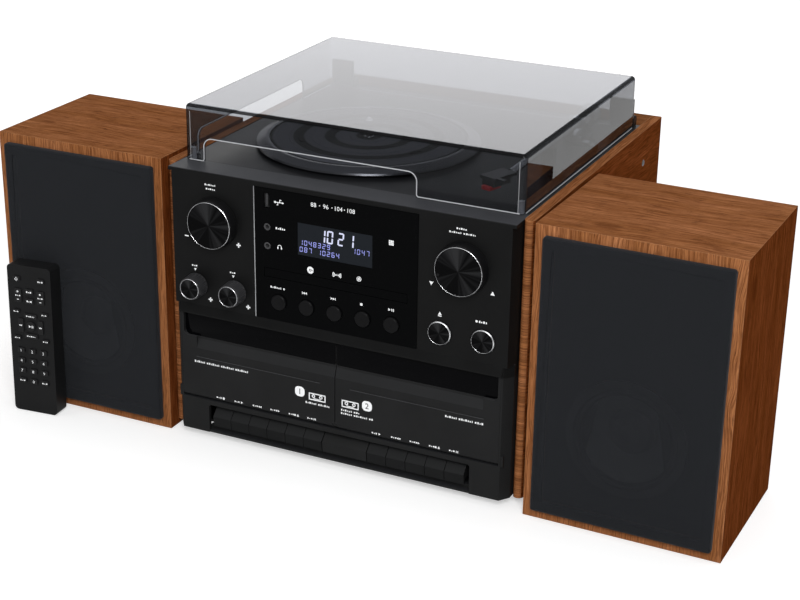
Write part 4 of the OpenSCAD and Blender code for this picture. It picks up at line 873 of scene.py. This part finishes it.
DOORS = {
    "left": {
        "side": -1, "label": "1", "badge": -34.2, "cassette": -17.2, "window": (-150.1, -0.7),
        "radii": [0.6, 0.6, 0.6, 4.3],
        "words": dashes(-140.2, -84.0, 76.0, 1.9) + dashes(-28.6, -5.4, 59.9, 1.8),
        "keys": {"record": -114.0, "play": -95.6, "rewind": -77.0, "forward": -59.2,
                 "stop": -40.8, "pause": -22.4}},
    "right": {
        "side": 1, "label": "2", "badge": 30.9, "cassette": 14.8, "window": (0.7, 150.1),
        "radii": [4.3, 0.6, 0.6, 0.6],
        "words": (dashes(103.8, 138.2, 75.9, 1.9) + dashes(6.0, 24.4, 60.1, 1.7)
                  + dashes(6.0, 36.6, 57.0, 1.7)),
        "keys": {"play": 40.2, "rewind": 58.6, "forward": 76.2, "stop": 94.2, "pause": 112.8}},
}
for word, door in DOORS.items():
    body = "cassette_door_" + word
    marks = door["words"]
    # small cassette beside the number
    x, z = door["cassette"], 66.4
    marks += [bar(x, z + 2.9, 16.4, 1.0), bar(x, z - 2.9, 16.4, 1.0), bar(x - 7.7, z, 1.0, 6.6),
              bar(x + 7.7, z, 1.0, 6.6), bar(x, z - 1.7, 7.0, 0.7)]
    for dx in (-3.6, 3.6):
        marks += ring_polys(x + dx, z + 0.6, 0.8, 1.65, 20)
    for kind, x in door["keys"].items():
        marks += key_mark(kind, x, KEY_PRINT_Z) + dashes(x - 4.6, x + 0.4, KEY_PRINT_Z, 1.3)
    print_piece(body + "_prints", marks, FACE_Y, body=body)
    # painted highlight: a light grey line along the lower edge of the groove
    groove = [bar(door["side"] * 76.5, 80.6, 124.0, 0.4)]
    print_piece(body + "_groove_painted_line", groove, FACE_Y, "edge", body, thick=0.04)
    x = door["badge"]
    print_piece(body + "_badge", [round_rect(x - 4.7, 64.0, x + 4.7, 73.4, 3.6, 8)], FACE_Y,
                body=body, thick=0.08)
    print_piece(body + "_numeral", [], FACE_Y - 0.08, "badge_ink", body,
                texts=[numerals(door["label"], x, 68.8, 7.4)])
    x0, x1 = door["window"]
    bm = prism(bmesh.new(), round_rect(x0, 99.8, x1, 120.8, door["radii"], 8), WINDOW_Y - 0.4,
               WINDOW_Y + 0.1, bevel=0.25, segments=3)
    finish_piece(body + "_window", bm, "window", body, "gloss_black")

# ---------- speakers ----------

def grille_outline(inset, r, n):
    """The grille's outline, moved in by an inset."""
    x, z = 7.8 + inset, 8.5 + inset
    return round_rect(x, z, SPEAKER_W - x, SPEAKER_H - z, r, n)


def loops_at(bm, outlines):
    return [[bm.verts.new((u, y, v)) for u, v in outline] for y, outline in outlines]


def cloth_mesh():
    """Cloth over the frame: flat front that sinks a hair between the bars, soft rim, sides to the
    board."""
    bm = bmesh.new()
    rim = ((-0.05, 0.0), (-3.6, 0.0), (-4.9, 0.35), (-5.6, 0.95), (-5.95, 1.9), (-6.0, 3.4))
    outlines = [(y, grille_outline(inset, max(1.0, 2.5 - inset), 6)) for y, inset in rim]
    outlines += [(y, grille_outline(inset, 1.5, 8))
                 for y, inset in ((-6.0, 9.0), (-5.98, 30.0), (-5.96, 60.0))]
    loops = loops_at(bm, outlines)
    for a, b in zip(loops, loops[1:]):
        bridge(bm, a, b)
    bm.faces.new(loops[-1])
    return bm


def frame_mesh():
    """The square bars that the cloth is stretched over."""
    bm = bmesh.new()
    outer, inner = grille_outline(0.8, 1.7, 8), grille_outline(9.0, 1.5, 8)
    loops = loops_at(bm, ((-0.1, outer), (-4.7, outer), (-5.2, inner), (-0.1, inner)))
    for k in range(4):
        bridge(bm, loops[k], loops[(k + 1) % 4])
    return bm


def baffle_mesh():
    """Black-stained board face behind the cloth, with the woofer's opening."""
    bm = bmesh.new()
    outer = grille_outline(9.5, 2.5, 12)
    cx, cz = SPEAKER_W / 2, WOOFER_Z
    turns = [math.atan2(v - cz, u - cx) for u, v in outer]
    hole = [(cx + 52.0 * math.cos(a), cz + 52.0 * math.sin(a)) for a in turns]
    for y in (-0.35, -0.02):
        bridge(bm, *loops_at(bm, ((y, outer), (y, hole))))
    return bm


turned = Matrix.Rotation(math.radians(-1.0), 4, "Z")
for word, placing in (("left", Matrix.Translation((*SPEAKER_LEFT, 0))),
                      ("right", Matrix.Translation((*SPEAKER_RIGHT, 0)) @ turned)):
    dressed = {"slot": "grille_cloth", "place_by": placing}
    grille = finish_piece("grille_cloth_" + word, cloth_mesh(), "cloth", angle=60.0, **dressed)
    bars = finish_piece("grille_frame_" + word, frame_mesh(), "baffle", angle=30.0, **dressed)
    finish_piece("baffle_face_" + word, baffle_mesh(), "baffle", angle=30.0, **dressed)
    if word == "left":
        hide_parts("speaker_grilles")

# ---------- liner of the key bay: sill, end plates, black sheet behind the levers as painted shade ---

bm = prism(bmesh.new(), round_rect(-126.9, 8.3, 126.9, 10.4, 0.5, 3), FACE_Y, -158.2, bevel=0.3)
for x in (-124.9, 124.9):
    prism(bm, bar(x, 23.2, 4.0, 25.4), -163.5, -162.0, bevel=0.2)
finish_piece("key_bay_liner", bm, "moulding", slot="black_moulding", angle=30.0)
# painted shade: a black sheet behind the key levers, so the gaps between the keys show dark
bm = prism(bmesh.new(), round_rect(-152.0, 9.2, 152.0, 60.0, 2.0, 3), -109.0, -107.6, bevel=0.2)
finish_piece("key_bay_painted_shade", bm, "baffle", slot="black_moulding", angle=30.0)

# ---------- rims of the lid: strips along its smooth cut edges, a painted highlight with a faint painted glow ---

RIM = 0.8              # thickness of the rim strips


def along(points, to):
    """A square strip that follows a path of (u, v) points."""
    bm = bmesh.new()
    rings = []
    for i, (u, v) in enumerate(points):
        before, after = points[max(i - 1, 0)], points[min(i + 1, len(points) - 1)]
        du, dv = after[0] - before[0], after[1] - before[1]
        reach = RIM / 2 / math.hypot(du, dv)
        nu, nv = -dv * reach, du * reach
        rings.append([bm.verts.new(to(u + nu * a, v + nv * a, w))
                      for a, w in ((1, 0), (-1, 0), (-1, RIM), (1, RIM))])
    for a, b in zip(rings, rings[1:]):
        bridge(bm, a, b)
    bm.faces.new(rings[0])
    bm.faces.new(list(reversed(rings[-1])))
    return bm


def rim_path(u0, u1, gap0, gap1):
    """Along the lower rim from u0, over the cut-out between gap0 and gap1, and on to u1."""
    low, high, r = LID_Z + 0.5, LID_Z + LID_CUT + 0.1, 8.0
    start = [(u0, low), (gap0 - 2.5, low)] + arc(gap0 - 2.5, low + 2.0, 2.0, -90, 0, 4)
    rise = arc(gap0 + r - 0.5, high - r, r, 180, 90, 8)
    fall = arc(gap1 - r + 0.5, high - r, r, 90, 0, 8)
    end = arc(gap1 + 2.5, low + 2.0, 2.0, 180, 270, 4) + [(gap1 + 2.5, low), (u1, low)]
    return start + rise + fall + end


def half_chord(gap, spare):
    """Half the width that a record takes in a wall at this distance from the spindle."""
    return math.sqrt(RECORD_R ** 2 - gap ** 2) + spare


front_half, side_half = half_chord(LID_GAPS[0], 2.0), half_chord(LID_GAPS[1], 1.0)
edge_x, wall_y, proud = LID_W / 2, (LID_Y + 4, LID_Y + LID_D - 4), 0.12
gap_x, gap_y = [(middle_at - half, middle_at + half)
                for middle_at, half in zip(PLATTER, (front_half, side_half))]
for word, path, to in (
        ("front", rim_path(4 - edge_x, edge_x - 4, *gap_x),
         lambda u, v, w: (u, LID_Y - proud + w, v)),
        ("left", rim_path(*wall_y, *gap_y),
         lambda u, v, w: (-edge_x - proud + w, u, v)),
        ("right", [(y, LID_Z + 0.5) for y in wall_y],
         lambda u, v, w: (edge_x + proud - w, u, v))):
    finish_piece("lid_rim_" + word, along(path, to), "rim", "dust_cover", "smoked_acrylic", 30.0)

# ---------- legends of the remote ----------

REMOTE = (Matrix.Translation((-323.7, -188.0, 0)) @ Matrix.Rotation(math.radians(5.4), 4, "Z")
          @ Matrix.Rotation(math.radians(-1.3975), 4, "X"))
MID, TOP, COL = 22.25, 144.0, 11.6


def on_remote(u, v, w):
    return REMOTE @ Vector((u, w, v))


marks = [p for p in ring_polys(MID - 12.4, TOP - 13.2, 0.9, 1.4, 20) if middle(p) < TOP - 12.4]
marks += [bar(MID - 12.4, TOP - 12.0, 0.5, 1.5)] + dashes(MID + 9.8, MID + 15.0, TOP - 13, 1.2)
for side in (-1, 1):
    x = MID + side * COL
    marks += plus(x, TOP - 25.2, 2.0, 0.6) + [bar(x, TOP - 32.8, 2.0, 0.6)]
    marks += dashes(x - 2.6, x + 2.6, TOP - 29, 1.1)
    for down in (45, 71):
        marks += dashes(MID + side * 14.6 - 2.4, MID + side * 14.6 + 2.4, TOP - down, 1.0)
    for k in (9.5, 11.0):
        marks += [triangle(MID + side * k, TOP - 58, 1.0, "left" if side < 0 else "right")]
    marks += dashes(MID - 4.2, MID + 4.2, TOP - 58 + side * 9.8, 1.1)
    marks += dashes(MID - 2.6, MID + 2.6, TOP - 29 + side * 4.5, 1.6)
    marks += dashes(x - 2.6, x + 2.6, TOP - 113, 1.2)
digits = [numerals(str(k + 1), MID + COL * (k % 3 - 1), TOP - 83 - 10 * (k // 3), 3.9)
          for k in range(9)] + [numerals("0", MID, TOP - 113, 3.9)]
print_piece("remote_legends", marks, -18.4, slot="remote_rubber", to=on_remote, texts=digits)
marks = [triangle(MID - 0.9, TOP - 58, 1.5, "right"), bar(MID + 1.5, TOP - 58, 0.6, 2.3),
         bar(MID + 2.6, TOP - 58, 0.6, 2.3)]
print_piece("remote_play_mark", marks, -18.6, slot="remote_rubber", to=on_remote)

# ---------- screws ----------

for side, word in ((-1, "left"), (1, "right")):
    head = [(0, 0.75), (0.9, 0.8), (2.2, 0.62), (3.1, 0.1), (3.1, -0.4), (0, -0.4)]
    bm = lathe(bmesh.new(), head, (0, 0, 0), steps=32)
    for turn in (20, 110):
        c, s = math.cos(math.radians(turn)), math.sin(math.radians(turn))
        prism(bm, [(c * a - s * b, s * a + c * b) for a, b in bar(0, 0, 3.4, 0.56)], -0.86, -0.7)
    turned = (Matrix.Translation((side * 170.0, 115.2, 223.4))
              @ Matrix.Rotation(math.radians(90 * side), 4, "Z"))
    finish_piece("side_screw_" + word, bm, "screw", "cabinet", "hinge_black", 30.0, turned)

# ---------- stylus ----------

turned = (Matrix.Translation((ARM[0], ARM[1] - ARM_LENGTH + 24, ARM[2]))
          @ Matrix.Rotation(math.radians(-20), 4, "Z"))
bm = prism(bmesh.new(), round_rect(-4.6, -8.3, 4.6, -4.9, 0.6, 3), -30.2, -16.5, bevel=0.5)
finish_piece("stylus_guard", bm, "stylus", "tonearm", "cartridge_plastic", 30.0, turned)

# ---------- camera ----------

AZIMUTH, ELEVATION, ROLL = (math.radians(a) for a in (25.15, 22.43, -0.85))
back = Vector((math.sin(AZIMUTH) * math.cos(ELEVATION), -math.cos(AZIMUTH) * math.cos(ELEVATION),
               math.sin(ELEVATION)))
right = Vector((math.cos(AZIMUTH), math.sin(AZIMUTH), 0))
up = back.cross(right)
turn = Matrix((math.cos(ROLL) * right - math.sin(ROLL) * up,
               math.sin(ROLL) * right + math.cos(ROLL) * up, back)).transposed().to_4x4()
cam_data = bpy.data.cameras.new("camera")
cam_data.lens = 78.43
cam_data.sensor_width = 36.0
camera = bpy.data.objects.new("camera", cam_data)
bpy.context.scene.collection.objects.link(camera)
camera.matrix_world = Matrix.Translation((0.62456, -1.37933, 0.72026)) @ turn
bpy.context.scene.camera = camera

# ---------- floor, world and lamps ----------

m = new_material("pale_floor")
paper = m.shader("BsdfDiffuse", {
    "Color": m.mix(m.noise(0.002, 3), (0.66, 0.66, 0.66), (0.70, 0.70, 0.70))})
here = m.coords()
behind = m.ramp(m.xyz(here)[1] * 0.5 + 0.5, (0.3, 0), (0.6, 1))
away = m.number("VectorMath", {0: here}, "Value", operation="LENGTH")
# painted shade round the object: the camera sees the floor lifted less near the object than far off
far = m.ramp(away * 0.125, (0.07, 0), (0.25, 1))
seen, glossy = m.rays()
shine = seen * m.between(far, 0.47, 0.95) | glossy * behind * 0.45
lift = m.shader("Emission", {"Color": (1, 1, 1), "Strength": shine})
floor_mat = m.finish(m.shader("AddShader", {0: paper, 1: lift}))
bm = bmesh.new()
bmesh.ops.create_grid(bm, x_segments=4, y_segments=4, size=8.0)
mesh = bpy.data.meshes.new("floor")
bm.to_mesh(mesh)
bm.free()
mesh.materials.append(floor_mat)
floor = bpy.data.objects.new("floor", mesh)
floor.location = (0, 0, -0.0004)
bpy.context.scene.collection.objects.link(floor)

world = bpy.data.worlds.new("studio")
bpy.context.scene.world = world
w = Tree(world)
seen, glossy = w.rays()
_, y, z = w.xyz(w.coords("Generated"))
rear = w.ramp(y * 0.5 + 0.5, (0.30, 0.12), (0.62, 0.85)) | w.ramp(z, (0.5, 0), (0.75, 1))
light = {"Color": (1, 1, 1), "Strength": seen | glossy * rear | 0.3}
w.add("OutputWorld", {"Surface": w.shader("Background", light)})


def softbox(name, at, target, size, power, size_y=None, mirrored=False):
    data = bpy.data.lights.new(name, "AREA")
    data.shape = "RECTANGLE"
    data.size = size
    data.size_y = size_y or size
    data.energy = power
    lamp = bpy.data.objects.new(name, data)
    bpy.context.scene.collection.objects.link(lamp)
    lamp.location = at
    lamp.rotation_mode = "QUATERNION"
    lamp.rotation_quaternion = (Vector(target) - Vector(at)).to_track_quat("-Z", "Y")
    lamp.visible_camera = False
    lamp.visible_glossy = mirrored


softbox("key_light", (0.9, -1.8, 1.5), (0, 0, 0.15), 0.9, 38, mirrored=True)
softbox("top_light", (0.1, 0.3, 2.2), (0, 0, 0.1), 1.6, 18)
softbox("back_light", (-1.03, 2.1, 0.97), (0, 0, 0.3), 1.5, 3.6, 0.5, mirrored=True)
softbox("fill_light", (-1.6, -1.6, 1.0), (0, 0, 0.15), 1.0, 5)

bpy.context.scene.view_settings.view_transform = "Standard"
